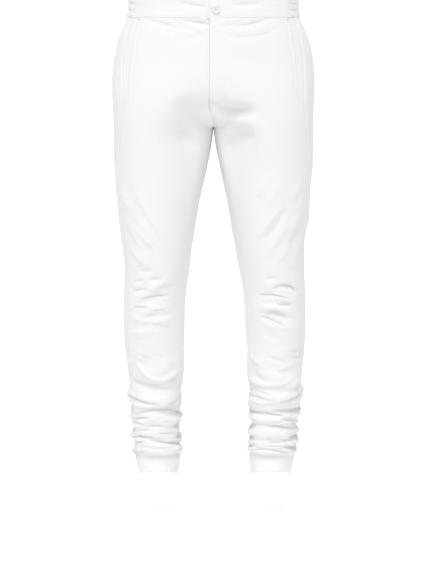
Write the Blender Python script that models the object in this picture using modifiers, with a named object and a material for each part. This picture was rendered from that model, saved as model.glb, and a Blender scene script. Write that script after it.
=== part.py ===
"""A pair of white cotton churidar pants, in the form that they take when worn.

The legs are slim from the thigh down, and are cut longer than the leg inside, so that the
spare cloth gathers above the ankle in soft rolls, the churi. The waistband is smooth in front,
where a square tab and a button close it over a fly, and is drawn in by elastic round the back.

Units are metres. Z points up, the front faces -Y, and the wearer's right leg is at -X. The
origin is in the middle of the waistband's opening, half way up the band. A point of the cloth
is given by its leg ("right" or "left"), its turn round that leg and its height. The turn, in
degrees, is -90 at the inseam, 0 in front, 90 at the outer side, 180 behind and 270 at the
inseam again. Above the crotch each leg's oval is cut off at the centre plane.
"""

import math

import bmesh
import bpy
import numpy as np
from mathutils import Vector

MM = 0.001

# The cloth and the seams.
CLOTH = 1.5 * MM              # wall of a single layer
SEAM_GAP = 0.3 * MM           # between neighbouring pieces
HALF_GAP = SEAM_GAP / 2
SIDES = {"right": -1.0, "left": 1.0}

# Heights, measured from the middle of the waistband.
BAND_TOP = 20 * MM
BAND_BOTTOM = -20 * MM
RISE_TOP = -50 * MM           # above this the two legs share one oval
CROTCH = -233 * MM
PARTING = (2.2, 1.7)          # powers of the curve by which the legs part above the crotch
WEB = 45 * MM                 # reach of the cloth that bridges the cleft between the legs
SQUARE_HIP = 0.88             # power of the sections' depth: under 1 squares the oval
SQUARE_LEG = 0.98
SQUARE_FROM = -200 * MM
SQUARE_TO = -400 * MM
HEM = -937 * MM
HEM_RISE = 0.36               # how far the hem climbs for each metre forward
HEM_EASE = 15 * MM            # behind this depth it climbs less
HEM_EASED = 0.7               # by this share
HEM_RISE_START = -850 * MM

# The waistband.
BAND_PROUD = 1.2 * MM         # its face stands out from the legs' cloth
BAND_WALL = 2.6 * MM
LEFT_SEAM_TURN = 60.5         # where the smooth fronts meet the gathered back, in degrees
RIGHT_SEAM_TURN = 67.0
TAB_REACH = 9 * MM            # the tab ends this far past the centre
UNDERLAP_REACH = 16 * MM      # the other end lies this far under the tab
UNDERLAP_RAMP = 22 * MM       # length over which it dips below the tab
ELASTIC_GATHERS = 28
GATHER_DEPTH = 1.6 * MM

# The fly: a folded strip, sewn on the left front, whose free edge laps the right front.
FLY_LAP = 8 * MM
FLY_COLUMNS = np.array([FLY_LAP, 19 * MM, 30 * MM])    # distances from the centre plane
FLY_BOTTOM = -180 * MM
BELOW_FLY = -215 * MM         # from here down the front's columns are evenly spaced
FLY_CURVE = 20 * MM           # radius of the curve at its lower outer corner
FLY_CORNER = 0.95             # share of that quarter turn which is built
FLY_WALL = 2.0 * MM
FLY_FOOT_LIFT = 0.25 * MM

# The pockets: the front is cut away in front of the side seam, over a facing.
POCKET_FOOT = -172 * MM       # where the mouth starts to curve out to the side seam
POCKET_END = -192 * MM        # where it meets the side seam
FACING_BOTTOM = -204 * MM
FACING_TUCK = 12 * MM         # width of the facing that lies under the front
FACING_DEPTH = CLOTH + 1.1 * MM    # its face lies this far below the front's
FACING_FOOT_DEPTH = 1.3 * MM       # and this much more below the mouth

# The button.
BUTTON_DIAMETER = 15 * MM
BUTTON_THICKNESS = 3.2 * MM
BUTTON_X = 5.3 * MM
BUTTON_Z = -5.0 * MM
BUTTON_HOLE_SPACING = 3.2 * MM
BUTTON_HOLE_DIAMETER = 1.7 * MM
BUTTON_CLEAR = 0.1 * MM       # the band curves away below a flat button


def table(columns, rows):
    """Return each named column of the rows as an array."""
    return dict(zip(columns.split(), np.array(rows, dtype=float).T))


# Sections of the legs, in millimetres. "outer" and "inner" are distances from the centre plane
# to the two sides of each leg, "front" and "back" the depths from the line where the section is
# widest, and "widest" the place of that line. "inner" counts below the crotch only.
SECTIONS = table(
    "z outer_right inner_right outer_left inner_left front back widest", [
        (-960, 148, 76, 152, 80, 49, 49, 13),
        (-937, 151, 74, 156, 78, 50, 49, 13),
        (-908, 157, 69, 163, 74, 53, 51, 13),
        (-858, 160, 70, 166, 75, 55, 54, 12),
        (-808, 163, 70, 170, 75, 58, 60, 10),
        (-783, 165.5, 69, 173, 74, 60, 62, 9),
        (-758, 168, 64, 176, 72, 62, 64, 7),
        (-709, 174, 59, 180, 68, 65, 67, 4),
        (-660, 179, 59, 184, 66, 67, 66, 1),
        (-611, 180, 58, 184, 63, 70, 64, -2),
        (-562, 179, 55, 183, 59, 74, 66, -4),
        (-513, 177, 48, 181, 51, 81, 74, -4),
        (-465, 182, 41, 182, 41, 88, 84, -3),
        (-417, 188, 34, 188, 33, 95, 94, -1),
        (-369, 193, 26, 193, 25, 102, 104, 1),
        (-321, 196, 15, 196, 15, 108, 115, 3),
        (-277, 197, 6, 197, 6, 114, 127, 4),
        (-233, 197, 0.15, 197, 0.15, 121, 133, 6),
        (-183, 198.5, 0, 198.5, 0, 127, 140, 7),
        (-136, 198.5, 0, 198.5, 0, 128, 139, 6),
        (-89, 193, 0, 193, 0, 125, 131, 4),
        (-55, 184, 0, 184, 0, 120, 122, 1),
        (-20, 168, 0, 168, 0, 114, 113, 0),
        (20, 165, 0, 165, 0, 111, 110, 0),
    ])

# Turns of the pockets' mouths and the side seams, in degrees. "mouth" counts down to the
# pocket's end only.
SEAM_LINES = table(
    "z mouth side", [
        (-960, 44, 78),
        (-420, 44, 76),
        (-300, 44, 63),
        (-233, 44, 55),
        (-192, 44, 53),
        (-172, 44.5, 54.5),
        (-132, 49, 58.5),
        (-102, 51.5, 62),
        (-58, 54, 64.5),
        (-20, 57.5, 69),
        (20, 58, 70),
    ])

# Soft folds, in millimetres and degrees. Each is a ridge, or a trough where its height is below
# zero, centred at a turn and a height on one leg (-1 right, 1 left). "slope" is its angle to
# the horizontal, outer end up, and "bow" lowers its ends below its middle.
SOFT_FOLDS = table(
    "leg turn z length width height slope bow", [
        # drag lines under the waistband
        (-1, 6, -31, 64, 5, -2.2, 10, 0),
        (-1, 17, -40, 96, 5, -2.0, 22, -3),
        (-1, 9, -58, 70, 8, -1.2, 8, 0),
        (1, 12, -34, 66, 5, -2.0, 12, 0),
        (1, 15, -58, 60, 7, -1.5, 2, -3),
        # hollows beside the crotch
        (-1, -18, -196, 90, 22, -5.0, 40, 0),
        (1, -12, -199, 84, 9, -6.5, 3, -9),
        (1, -14, -219, 70, 9, 3.5, 4, -6),
        (1, -24, -245, 64, 15, -5.0, 18, 0),
        (-1, -30, -250, 80, 14, -3.5, 48, 0),
        # drag lines across the thighs, towards the knees
        (-1, 38, -395, 150, 9, 4.2, 58, 4),
        (-1, 26, -420, 120, 8, -4.0, 60, 4),
        (-1, 34, -440, 110, 8, 3.6, 62, 4),
        (-1, 55, -492, 60, 9, 3.0, 38, 0),
        (1, 38, -352, 70, 8, 3.0, 58, 0),
        (1, 44, -380, 50, 8, 2.6, 50, 0),
        (1, 36, -421, 110, 8, 4.2, 60, 4),
        (1, 42, -440, 100, 7, -4.0, 58, 4),
        (1, 60, -448, 130, 10, 4.4, 56, 4),
        # ripples at and below the knees
        (-1, -8, -538, 70, 10, 4.2, -24, 0),
        (-1, 4, -574, 90, 7, -3.6, 4, 3),
        (-1, 14, -590, 80, 8, 3.8, 3, 3),
        (-1, 34, -594, 50, 5, -3.0, 2, 0),
        (-1, -14, -598, 60, 5, -3.4, 4, 0),
        (-1, 10, -611, 110, 7, 4.0, 4, -4),
        (-1, 20, -634, 90, 10, 3.0, -8, -4),
        (1, 12, -553, 66, 6, -3.6, -12, 5),
        (1, 10, -564, 70, 6, 4.2, -12, 5),
        (1, -2, -573, 66, 5, -3.8, -6, 4),
        (1, -2, -585, 80, 7, 4.2, -2, 2),
        (1, 16, -602, 70, 6, -3.6, -20, -5),
        (1, 4, -620, 90, 9, 4.2, -16, -5),
        (1, -8, -642, 66, 8, -2.8, -28, 0),
        # long swags on the calves, above the rolls
        (-1, -6, -716, 100, 13, 5.0, -28, -12),
        (-1, 30, -745, 80, 8, -4.5, 6, -6),
        (-1, -52, -700, 60, 10, 3.2, 30, 0),
        (1, -8, -726, 120, 12, 5.5, -14, -16),
        (1, 40, -742, 70, 9, 4.5, 16, -6),
        (1, 10, -768, 110, 8, 5.0, 0, -12),
        # the same at the sides and behind
        (-1, 150, -222, 140, 22, -3.0, 20, -10),
        (1, 148, -226, 130, 22, -3.0, 22, -10),
        (-1, 168, -268, 130, 20, -4.0, 24, -12),
        (1, 165, -264, 140, 20, -4.0, 20, -12),
        (-1, 176, -312, 120, 17, 3.2, 26, -8),
        (1, 178, -308, 130, 17, 3.2, 22, -8),
        (-1, 120, -420, 120, 10, 3.6, -50, 0),
        (1, 126, -430, 110, 10, 3.6, -48, 0),
        (-1, 178, -540, 96, 9, 4.4, 8, -8),
        (1, 184, -536, 100, 9, 4.4, -6, -8),
        (-1, 190, -566, 110, 8, -5.0, -6, -8),
        (1, 176, -562, 104, 8, -5.0, 7, -8),
        (-1, 176, -590, 104, 8, 4.6, 5, -6),
        (1, 188, -588, 110, 8, 4.6, -5, -6),
        (-1, 130, -604, 60, 7, -3.4, -18, 0),
        (1, 134, -600, 60, 7, -3.4, -20, 0),
        (-1, 186, -616, 90, 9, -3.4, -9, 0),
        (1, 180, -612, 90, 9, -3.4, 8, 0),
        (-1, 160, -704, 110, 12, 4.4, 16, -10),
        (1, 166, -710, 110, 12, 4.4, 14, -10),
        (-1, 200, -742, 90, 9, 4.4, -14, -8),
        (1, 204, -738, 90, 9, 4.4, -12, -8),
    ])

# The rolls of spare cloth above the ankles, in millimetres and degrees. "reach" is half of the
# turn that a roll covers, "half" half of its height and "out" how far it stands out. "tilt" is
# the climb of its outer end over its inner end, and "bow" lowers both ends.
ROLLS = table(
    "leg turn reach z half out tilt bow", [
        # right leg, in front
        (-1, 20, 120, -779, 13, 12.0, 6, -10),
        (-1, -25, 85, -798, 9, 5.0, 0, 3),
        (-1, 75, 60, -816, 11, 8.0, -2, 0),
        (-1, -60, 75, -820, 9, 9.0, 3, 0),
        (-1, 5, 55, -813, 7, 5.0, 4, 0),
        (-1, 40, 70, -829, 7, 5.5, 0, 0),
        (-1, -10, 70, -843, 8, 6.0, -4, 0),
        (-1, 90, 75, -858, 8, 10.5, 6, 0),
        (-1, 30, 50, -865, 5, 3.5, 0, 0),
        (-1, -50, 65, -866, 9, 6.0, 2, 0),
        (-1, 10, 150, -889, 10, 8.5, -12, 0),
        # right leg, behind
        (-1, 165, 95, -778, 11, 6.5, -6, -4),
        (-1, 215, 80, -796, 9, 6.0, 8, 3),
        (-1, 150, 85, -803, 8, 5.5, -6, 2),
        (-1, 190, 90, -820, 9, 6.5, 5, -3),
        (-1, 140, 60, -832, 7, 4.5, 3, 0),
        (-1, 215, 75, -840, 8, 5.5, 6, 2),
        (-1, 165, 85, -849, 8, 6.0, -5, 0),
        (-1, 225, 60, -862, 7, 4.5, 4, 0),
        (-1, 175, 90, -871, 8, 5.0, 3, 0),
        (-1, 195, 110, -889, 9, 6.0, 2, 0),
        # left leg, in front
        (1, 25, 120, -774, 13, 10.5, 14, -10),
        (1, -35, 85, -790, 14, 5.0, 0, 0),
        (1, 75, 60, -789, 9, 4.0, 0, 0),
        (1, 75, 70, -807, 9, 7.5, -4, 0),
        (1, -35, 80, -817, 11, 6.0, 0, 0),
        (1, 60, 65, -829, 7, 5.0, 0, 0),
        (1, -30, 90, -846, 11, 9.0, 2, 0),
        (1, 75, 60, -847, 8, 7.0, 0, 0),
        (1, 70, 70, -868, 9, 8.5, 2, 0),
        (1, -30, 80, -869, 9, 6.0, 0, 0),
        (1, 15, 35, -877, 5, 3.0, -3, 0),
        (1, 10, 140, -887, 8, 6.0, -3, 0),
        # left leg, behind
        (1, 170, 95, -772, 11, 6.0, -6, -4),
        (1, 210, 80, -790, 9, 6.0, 7, 3),
        (1, 145, 80, -797, 8, 5.5, -5, 2),
        (1, 185, 90, -814, 9, 6.5, 4, -3),
        (1, 225, 65, -828, 8, 5.0, 6, 0),
        (1, 155, 75, -833, 8, 5.5, -4, 2),
        (1, 195, 85, -848, 8, 6.0, 5, 0),
        (1, 145, 60, -859, 7, 5.0, -3, 0),
        (1, 210, 75, -868, 7, 5.0, 3, 0),
        (1, 165, 100, -882, 8, 5.5, -2, 0),
    ])


def spline(knots, values):
    """Return the natural cubic spline through the points, as a function."""
    gaps = np.diff(knots)
    slopes = np.diff(values) / gaps
    count = len(knots)
    matrix = np.eye(count)
    right = np.zeros(count)
    for row in range(1, count - 1):
        matrix[row, row - 1:row + 2] = gaps[row - 1], 2 * (gaps[row - 1] + gaps[row]), gaps[row]
        right[row] = 6 * (slopes[row] - slopes[row - 1])
    bends = np.linalg.solve(matrix, right)

    def curve(at):
        at = np.clip(at, knots[0], knots[-1])
        k = np.clip(np.searchsorted(knots, at) - 1, 0, count - 2)
        gap, left, over = gaps[k], at - knots[k], knots[k + 1] - at
        bent = (bends[k] * over**3 + bends[k + 1] * left**3) / (6 * gap)
        low = (values[k] / gap - bends[k] * gap / 6) * over
        high = (values[k + 1] / gap - bends[k + 1] * gap / 6) * left
        return bent + low + high

    return curve


PROFILE = {
    name: spline(SECTIONS["z"] * MM, column * MM)
    for name, column in SECTIONS.items() if name != "z"
}
for line in ("mouth", "side"):
    PROFILE[line] = spline(SEAM_LINES["z"] * MM, SEAM_LINES[line])
BELOW_CROTCH = SECTIONS["z"] <= CROTCH / MM
for leg_name in SIDES:
    column = SECTIONS[f"inner_{leg_name}"]
    PROFILE[f"inner_{leg_name}"] = spline(
        SECTIONS["z"][BELOW_CROTCH] * MM, column[BELOW_CROTCH] * MM)


def smooth(value, start, end):
    """Return 0 up to start, 1 past end, and an S-curve between them."""
    share = np.clip((value - start) / (end - start), 0, 1)
    return share * share * (3 - 2 * share)


def oval(leg, z):
    """Return the centre and half width of a leg's section, and how far the legs have parted."""
    outer = PROFILE[f"outer_{leg}"](z)
    drop = np.clip((RISE_TOP - z) / (RISE_TOP - CROTCH), 0, 1)
    parted = 1 - (1 - drop**PARTING[0])**PARTING[1]
    shared_inner = (parted - 1) / (parted + 1) * outer + HALF_GAP
    inner = np.where(z > CROTCH, shared_inner, PROFILE[f"inner_{leg}"](z))
    return (outer + inner) / 2, (outer - inner) / 2, parted


def inner_turn(leg, z):
    """Return the angle round the section, in radians from its inner side, of the seam there."""
    centre, half, _ = oval(leg, z)
    return np.arccos(np.clip((centre - HALF_GAP) / half, -1, 1))


def form(leg, angle, z):
    """Return points of the smooth form, before folds, for the leg on the +X side.

    The section is an oval, a little squared at the hips. Near the centre plane a web of cloth
    rounds the cleft between the two halves.
    """
    centre, half, parted = oval(leg, z)
    x = centre - half * np.cos(angle)
    web = np.maximum(WEB * np.sqrt(np.clip(1 - parted**2, 0, 1)), 0.01 * MM)
    webbed = np.abs(x) + web * np.exp(-np.abs(x) / web)
    cosine = np.clip((centre - webbed) / half, -1, 1)
    slimmed = smooth(-z, -SQUARE_FROM, -SQUARE_TO)
    depth = np.sqrt(1 - cosine**2)**(SQUARE_HIP + (SQUARE_LEG - SQUARE_HIP) * slimmed)
    front = np.sin(angle) >= 0
    reach = np.where(front, -PROFILE["front"](z), PROFILE["back"](z))
    y = PROFILE["widest"](z) + reach * depth
    climb = HEM_RISE * smooth(-z, -HEM_RISE_START, -HEM)
    rearward = y - HEM_EASED * np.maximum(y - HEM_EASE, 0)
    return np.stack([x, y, z - climb * rearward], axis=-1)


def outward(leg, angle, z):
    """Return the form's unit normals."""
    step = 0.5 * MM
    turn_step = 0.004
    along = form(leg, angle + turn_step, z) - form(leg, angle - turn_step, z)
    up = form(leg, angle, z + step) - form(leg, angle, z - step)
    normal = np.cross(along, up)
    return normal / np.linalg.norm(normal, axis=-1, keepdims=True)


def turn_from(turn, middle):
    """Return the shortest way round from the middle to the turn, in degrees."""
    return (turn - middle + 180) % 360 - 180


def soft_relief(leg, turn, z):
    """Return the sum of the soft ridges and troughs."""
    relief = np.zeros(np.shape(z))
    for k in np.flatnonzero(SOFT_FOLDS["leg"] == SIDES[leg]):
        fold = {name: column[k] for name, column in SOFT_FOLDS.items()}
        _, radius, _ = oval(leg, np.array(fold["z"] * MM))
        around = np.radians(turn_from(turn, fold["turn"])) * radius
        up = z - fold["z"] * MM
        slope = math.radians(fold["slope"])
        along = (around * math.cos(slope) + up * math.sin(slope)) / (fold["length"] * MM / 2)
        across = up * math.cos(slope) - around * math.sin(slope) + fold["bow"] * MM * along**2
        fade = np.clip(1 - along**2, 0, 1)**1.5
        relief += fold["height"] * MM * fade * np.exp(-(across / (fold["width"] * MM))**2)
    return relief


def roll_relief(leg, turn, z):
    """Return the height of the rolls: the highest of them at each point."""
    relief = np.zeros(np.shape(z))
    for k in np.flatnonzero(ROLLS["leg"] == SIDES[leg]):
        roll = {name: column[k] for name, column in ROLLS.items()}
        along = np.clip(turn_from(turn, roll["turn"]) / roll["reach"], -1, 1)
        taper = 1 - along**2
        middle = (roll["z"] + roll["tilt"] / 2 * along - roll["bow"] * along**2) * MM
        across = (z - middle) / (roll["half"] * MM * (0.6 + 0.4 * taper))
        height = roll["out"] * MM * taper**0.6 * np.sqrt(np.clip(1 - across**2, 0, 1))
        relief = np.maximum(relief, height)
    return relief


def skin(leg, angle, z, lift=0.0):
    """Return points of the cloth's face, lifted outwards, on the leg's own side."""
    turn = np.degrees(angle) - 90
    points = form(leg, angle, z)
    clear = smooth(points[..., 0], HALF_GAP, 9 * MM)
    relief = (soft_relief(leg, turn, z) + roll_relief(leg, turn, z)) * clear
    points = points + outward(leg, angle, z) * (relief + lift)[..., None]
    points[..., 0] = np.maximum(points[..., 0], HALF_GAP)
    return points * (SIDES[leg], 1, 1)


def front_edge_turn(z):
    """Return the turn of the front's outer edge: the pocket's mouth, then the side seam."""
    past_mouth = smooth(-z, -POCKET_FOOT, -POCKET_END)
    return PROFILE["mouth"](z) * (1 - past_mouth) + PROFILE["side"](z) * past_mouth


def spread(start, end, count):
    """Return angles in even steps from start to end, a row for each height."""
    return start[:, None] + (end - start)[:, None] * np.linspace(0, 1, count)


def heights():
    """Return the heights of the legs' rows: close together where the cloth is rolled."""
    stretches = table("top bottom rows", [
        (-20.3, -180, 8),
        (-180, -208, 2),
        (-208, -226, 2),
        (-226, -231, 1),
        (-231, -233, 1),
        (-233, -500, 10),
        (-500, -640, 9),
        (-640, -752, 6),
        (-752, -898, 27),
        (-898, -937, 2),
    ])
    rows = [np.array([stretches["top"][0]])]
    for top, bottom, count in zip(*stretches.values()):
        rows.append(np.linspace(top, bottom, int(count) + 1)[1:])
    return np.concatenate(rows) * MM


def collect(name, points, faces, colour, smooth_limit=math.radians(50)):
    """Make a mesh object from points and triangles, with its own cloth material."""
    mesh = bpy.data.meshes.new(name)
    mesh.from_pydata(points.tolist(), [], faces)
    piece = bpy.data.objects.new(name, mesh)
    finish(piece, colour, smooth_limit)
    return piece


def finish(piece, colour, smooth_limit):
    """Shade a piece smooth between its edges, give it a material and put it in the collection."""
    material = bpy.data.materials.new(piece.name)
    material.use_nodes = True
    shader = material.node_tree.nodes["Principled BSDF"]
    shader.inputs["Base Color"].default_value = (*colour, 1)
    shader.inputs["Roughness"].default_value = 0.85
    shader.inputs["Metallic"].default_value = 0.0
    piece.data.materials.append(material)
    piece.data.shade_smooth()
    piece.data.set_sharp_from_angle(angle=smooth_limit)
    bpy.data.collections["churidar_pants"].objects.link(piece)


def wall(name, face, back, colour, mirrored):
    """Make a closed wall between two grids of points, whose rows run down from the top.

    The columns run outwards on the left leg. On a mirrored piece the triangles are turned over.
    """
    rows, columns = face.shape[:2]
    points = np.concatenate([face.reshape(-1, 3), back.reshape(-1, 3)])
    number = np.arange(2 * rows * columns).reshape(2, rows, columns)
    faces = []

    def add(a, b, c, d):
        corners = np.stack([a, b, c, d], axis=-1).reshape(-1, 4)
        halves = np.concatenate([corners[:, [0, 1, 2]], corners[:, [0, 2, 3]]])
        faces.extend((halves[:, ::-1] if mirrored else halves).tolist())

    near, far = number
    add(near[:-1, :-1], near[1:, :-1], near[1:, 1:], near[:-1, 1:])
    add(far[:-1, :-1], far[:-1, 1:], far[1:, 1:], far[1:, :-1])
    add(near[0, :-1], near[0, 1:], far[0, 1:], far[0, :-1])
    add(near[-1, 1:], near[-1, :-1], far[-1, :-1], far[-1, 1:])
    add(near[1:, 0], near[:-1, 0], far[:-1, 0], far[1:, 0])
    add(near[:-1, -1], near[1:, -1], far[1:, -1], far[:-1, -1])
    return collect(name, points, faces, colour)


def leg_panel(name, leg, angle, z):
    """Make a front or a back: the cloth's face and its inner side."""
    z = np.broadcast_to(z[:, None], angle.shape)
    face = skin(leg, angle, z)
    back = skin(leg, angle, z, -CLOTH)
    wall(name, face, back, (0.86, 0.87, 0.88), leg == "right")


def gap_angle(leg, z):
    """Return the angle that half a seam gap takes up on the section."""
    return HALF_GAP / PROFILE["front"](z)


def front_angles(leg, z):
    """Return the angles of a front's columns, from the inner seam to the pocket or side seam."""
    start = inner_turn(leg, z) + gap_angle(leg, z)
    end = np.radians(front_edge_turn(z) + 90) - gap_angle(leg, z)
    centre, half, _ = oval(leg, z)
    near = np.arccos(np.clip((centre[:, None] - FLY_COLUMNS) / half[:, None], -1, 1))
    beside_fly = np.concatenate([start[:, None], near[:, :-1], spread(near[:, -1], end, 8)], axis=1)
    below_fly = smooth(-z, -FLY_BOTTOM, -BELOW_FLY)[:, None]
    return beside_fly + (spread(start, end, 11) - beside_fly) * below_fly


def back_angles(leg, z):
    """Return the angles of a back's columns, from the side seam to the inner seam."""
    start = np.radians(PROFILE["side"](z) + 90) + gap_angle(leg, z)
    end = 2 * math.pi - inner_turn(leg, z) - gap_angle(leg, z)
    return spread(start, end, 13)


def make_legs():
    """Make the fronts and the backs, each cut in one from the waist to the ankle."""
    z = heights()
    for leg in SIDES:
        leg_panel(f"front_{leg}", leg, front_angles(leg, z), z)
        leg_panel(f"back_{leg}", leg, back_angles(leg, z), z)


def make_pocket_facings():
    """Make the cloth seen between each pocket's mouth and the side seam."""
    z = np.linspace(BAND_BOTTOM - SEAM_GAP, FACING_BOTTOM, 15)
    for leg in SIDES:
        hip = PROFILE[f"outer_{leg}"](z)
        mouth = np.radians(PROFILE["mouth"](z) + 90)
        seam = np.radians(PROFILE["side"](z) + 90) - gap_angle(leg, z)
        start = mouth - FACING_TUCK / hip
        shares = np.array([0, 0.27, 0.5, 0.75, 1.0])
        angle = start[:, None] + (seam - start)[:, None] * shares
        open_mouth = 1 - smooth(-z, 0.6 * -POCKET_FOOT, 0.9 * -POCKET_FOOT)
        level = smooth(shares, 0.35, 1.0) * open_mouth[:, None]
        sunk = FACING_DEPTH * (1 - level) + FACING_FOOT_DEPTH * (1 - open_mouth[:, None])
        rows = np.broadcast_to(z[:, None], angle.shape)
        face = skin(leg, angle, rows, -sunk)
        back = skin(leg, angle, rows, -sunk - CLOTH)
        wall(f"pocket_facing_{leg}", face, back, (0.82, 0.83, 0.85), leg == "right")


def make_fly():
    """Make the fly's strip over the fronts, from their own points moved out."""
    z = heights()
    z = z[z > FLY_BOTTOM - MM]
    rows = z[:, None]
    right = front_angles("right", z)[:, 1:2]
    left = front_angles("left", z)[:, :4]
    # its foot stands a little further out, clear of the facets under the rounded corner
    foot = np.where(rows == z[-1], FLY_FOOT_LIFT, 0.0)
    sheets = []
    for lift in (SEAM_GAP + FLY_WALL, SEAM_GAP):
        lapped = skin("right", right, np.broadcast_to(rows, right.shape), lift + foot)
        sewn = skin("left", left, np.broadcast_to(rows, left.shape), lift + foot)
        sheets.append(np.concatenate([lapped, sewn], axis=1))
    # the lower outer corner is rounded by sliding the last points up their own columns
    across = np.clip(sheets[0][-1, :, 0] / FLY_COLUMNS[-1], 0, 1)
    climb = FLY_CURVE * (1 - np.sqrt(1 - (FLY_CORNER * across)**2)) / (z[-2] - z[-1])
    for sheet in sheets:
        sheet[-1] += (sheet[-2] - sheet[-1]) * climb[:, None]
    wall("fly_placket", sheets[0], sheets[1], (0.88, 0.89, 0.90), False)


def band_strip(name, turns, legs, lift, colour):
    """Make a length of waistband along the given turns, each on its leg, at its lift."""
    z = np.array([BAND_TOP, BAND_TOP - 1 * MM, 0, BAND_BOTTOM])
    inset = np.array([0.7 * MM, 0, 0, 0])
    sheets = []
    for level in (BAND_PROUD, BAND_PROUD - BAND_WALL):
        sign = -1 if level > 0 else 1
        columns = []
        for turn, leg, up in zip(turns, legs, lift):
            angle = np.full(z.shape, np.radians(turn + 90))
            points = skin(leg, angle, z, level + up + sign * inset)
            points[:, 2] = z
            columns.append(points)
        sheets.append(np.stack(columns, axis=1))
    wall(name, sheets[0], sheets[1], colour, False)


def turn_at(x):
    """Return the turn of a distance from the centre plane, along the band's front."""
    return math.degrees(math.asin(x / PROFILE["outer_left"](0.0)))


def make_waistband():
    """Make the band's two smooth fronts and its gathered back."""
    colour = (0.87, 0.88, 0.89)
    gap = math.degrees(HALF_GAP / PROFILE["outer_left"](0.0))

    tab = np.concatenate([[-turn_at(TAB_REACH), 0], np.linspace(5, LEFT_SEAM_TURN - gap, 10)])
    legs = ["right" if turn < 0 else "left" for turn in tab]
    band_strip("waistband_front_left", np.abs(tab), legs, np.zeros(len(tab)), colour)

    # the right front runs from its side, at a negative turn, to the end under the tab
    under = np.concatenate([
        np.linspace(gap - RIGHT_SEAM_TURN, -turn_at(TAB_REACH + UNDERLAP_RAMP), 8),
        -np.array([turn_at(TAB_REACH + 0.5 * UNDERLAP_RAMP), turn_at(TAB_REACH + 2 * MM)]),
        [0, turn_at(UNDERLAP_REACH)]])
    reach = np.sin(np.radians(under)) * PROFILE["outer_left"](0.0)
    dip = smooth(reach, -TAB_REACH - UNDERLAP_RAMP, -TAB_REACH - 2 * MM)
    legs = ["right" if turn < 0 else "left" for turn in under]
    lift = -dip * (BAND_WALL + SEAM_GAP)
    band_strip("waistband_front_right", np.abs(under), legs, lift, colour)

    # the back runs from the left side, behind, to the right side
    ends = LEFT_SEAM_TURN + gap, 360 - RIGHT_SEAM_TURN - gap
    full = np.linspace(*ends, ELASTIC_GATHERS * 4 + 1)
    legs = ["left" if turn <= 180 else "right" for turn in full]
    turns = np.where(full <= 180, full, 360 - full)
    phase = np.linspace(0, ELASTIC_GATHERS * math.pi, len(full))
    wave = GATHER_DEPTH * (np.abs(np.sin(phase)) - 0.5)
    band_strip("waistband_back", turns, legs, wave, colour)


def make_button():
    """Make the button: a turned disc with a rim and four holes, on the tab."""
    radius = BUTTON_DIAMETER / 2
    outline = table("radius height", [
        (0, 0), (0.80, 0), (0.96, 0.2), (1.0, 0.5), (0.95, 0.86), (0.86, 1.0),
        (0.76, 0.92), (0.66, 0.62), (0, 0.55)])
    mesh = bpy.data.meshes.new("button")
    points = [
        (radius * r, 0, BUTTON_THICKNESS * h)
        for r, h in zip(outline["radius"], outline["height"])
    ]
    mesh.from_pydata(points, [(k, k + 1) for k in range(len(points) - 1)], [])
    button = bpy.data.objects.new("button", mesh)
    turned = button.modifiers.new("turned", "SCREW")
    turned.steps = turned.render_steps = 28
    turned.use_merge_vertices = True
    turned.merge_threshold = 0.01 * MM
    turned.use_normal_calculate = True

    drill_mesh = bpy.data.meshes.new("button_holes")
    drills = bmesh.new()
    for k in range(4):
        made = bmesh.ops.create_cone(
            drills, cap_ends=True, segments=10, depth=3 * BUTTON_THICKNESS,
            radius1=BUTTON_HOLE_DIAMETER / 2, radius2=BUTTON_HOLE_DIAMETER / 2)
        aim = math.radians(45 + 90 * k)
        place = (math.cos(aim), math.sin(aim), 0)
        offset = [BUTTON_HOLE_SPACING / math.sqrt(2) * part for part in place]
        bmesh.ops.translate(drills, verts=made["verts"], vec=offset)
    drills.to_mesh(drill_mesh)
    drills.free()
    holes = bpy.data.objects.new("button_holes", drill_mesh)
    holes.hide_render = True
    holes.display_type = "WIRE"
    bpy.data.collections["cutters"].objects.link(holes)
    drilled = button.modifiers.new("drilled", "BOOLEAN")
    drilled.object = holes

    angle = np.array([np.radians(turn_at(BUTTON_X) + 90)])
    height = np.array([BUTTON_Z])
    spot = skin("left", angle, height, BAND_PROUD + SEAM_GAP + BUTTON_CLEAR)[0]
    facing = Vector(outward("left", angle, height)[0]).to_track_quat("Z", "Y")
    for piece in (button, holes):
        piece.location = spot
        piece.rotation_mode = "QUATERNION"
        piece.rotation_quaternion = facing
    finish(button, (0.90, 0.90, 0.88), math.radians(35))


def main():
    for old in list(bpy.data.objects):
        bpy.data.objects.remove(old)
    for name in ("churidar_pants", "cutters"):
        bpy.context.scene.collection.children.link(bpy.data.collections.new(name))
    make_legs()
    make_pocket_facings()
    make_fly()
    make_waistband()
    make_button()


main()
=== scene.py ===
import math

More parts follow.
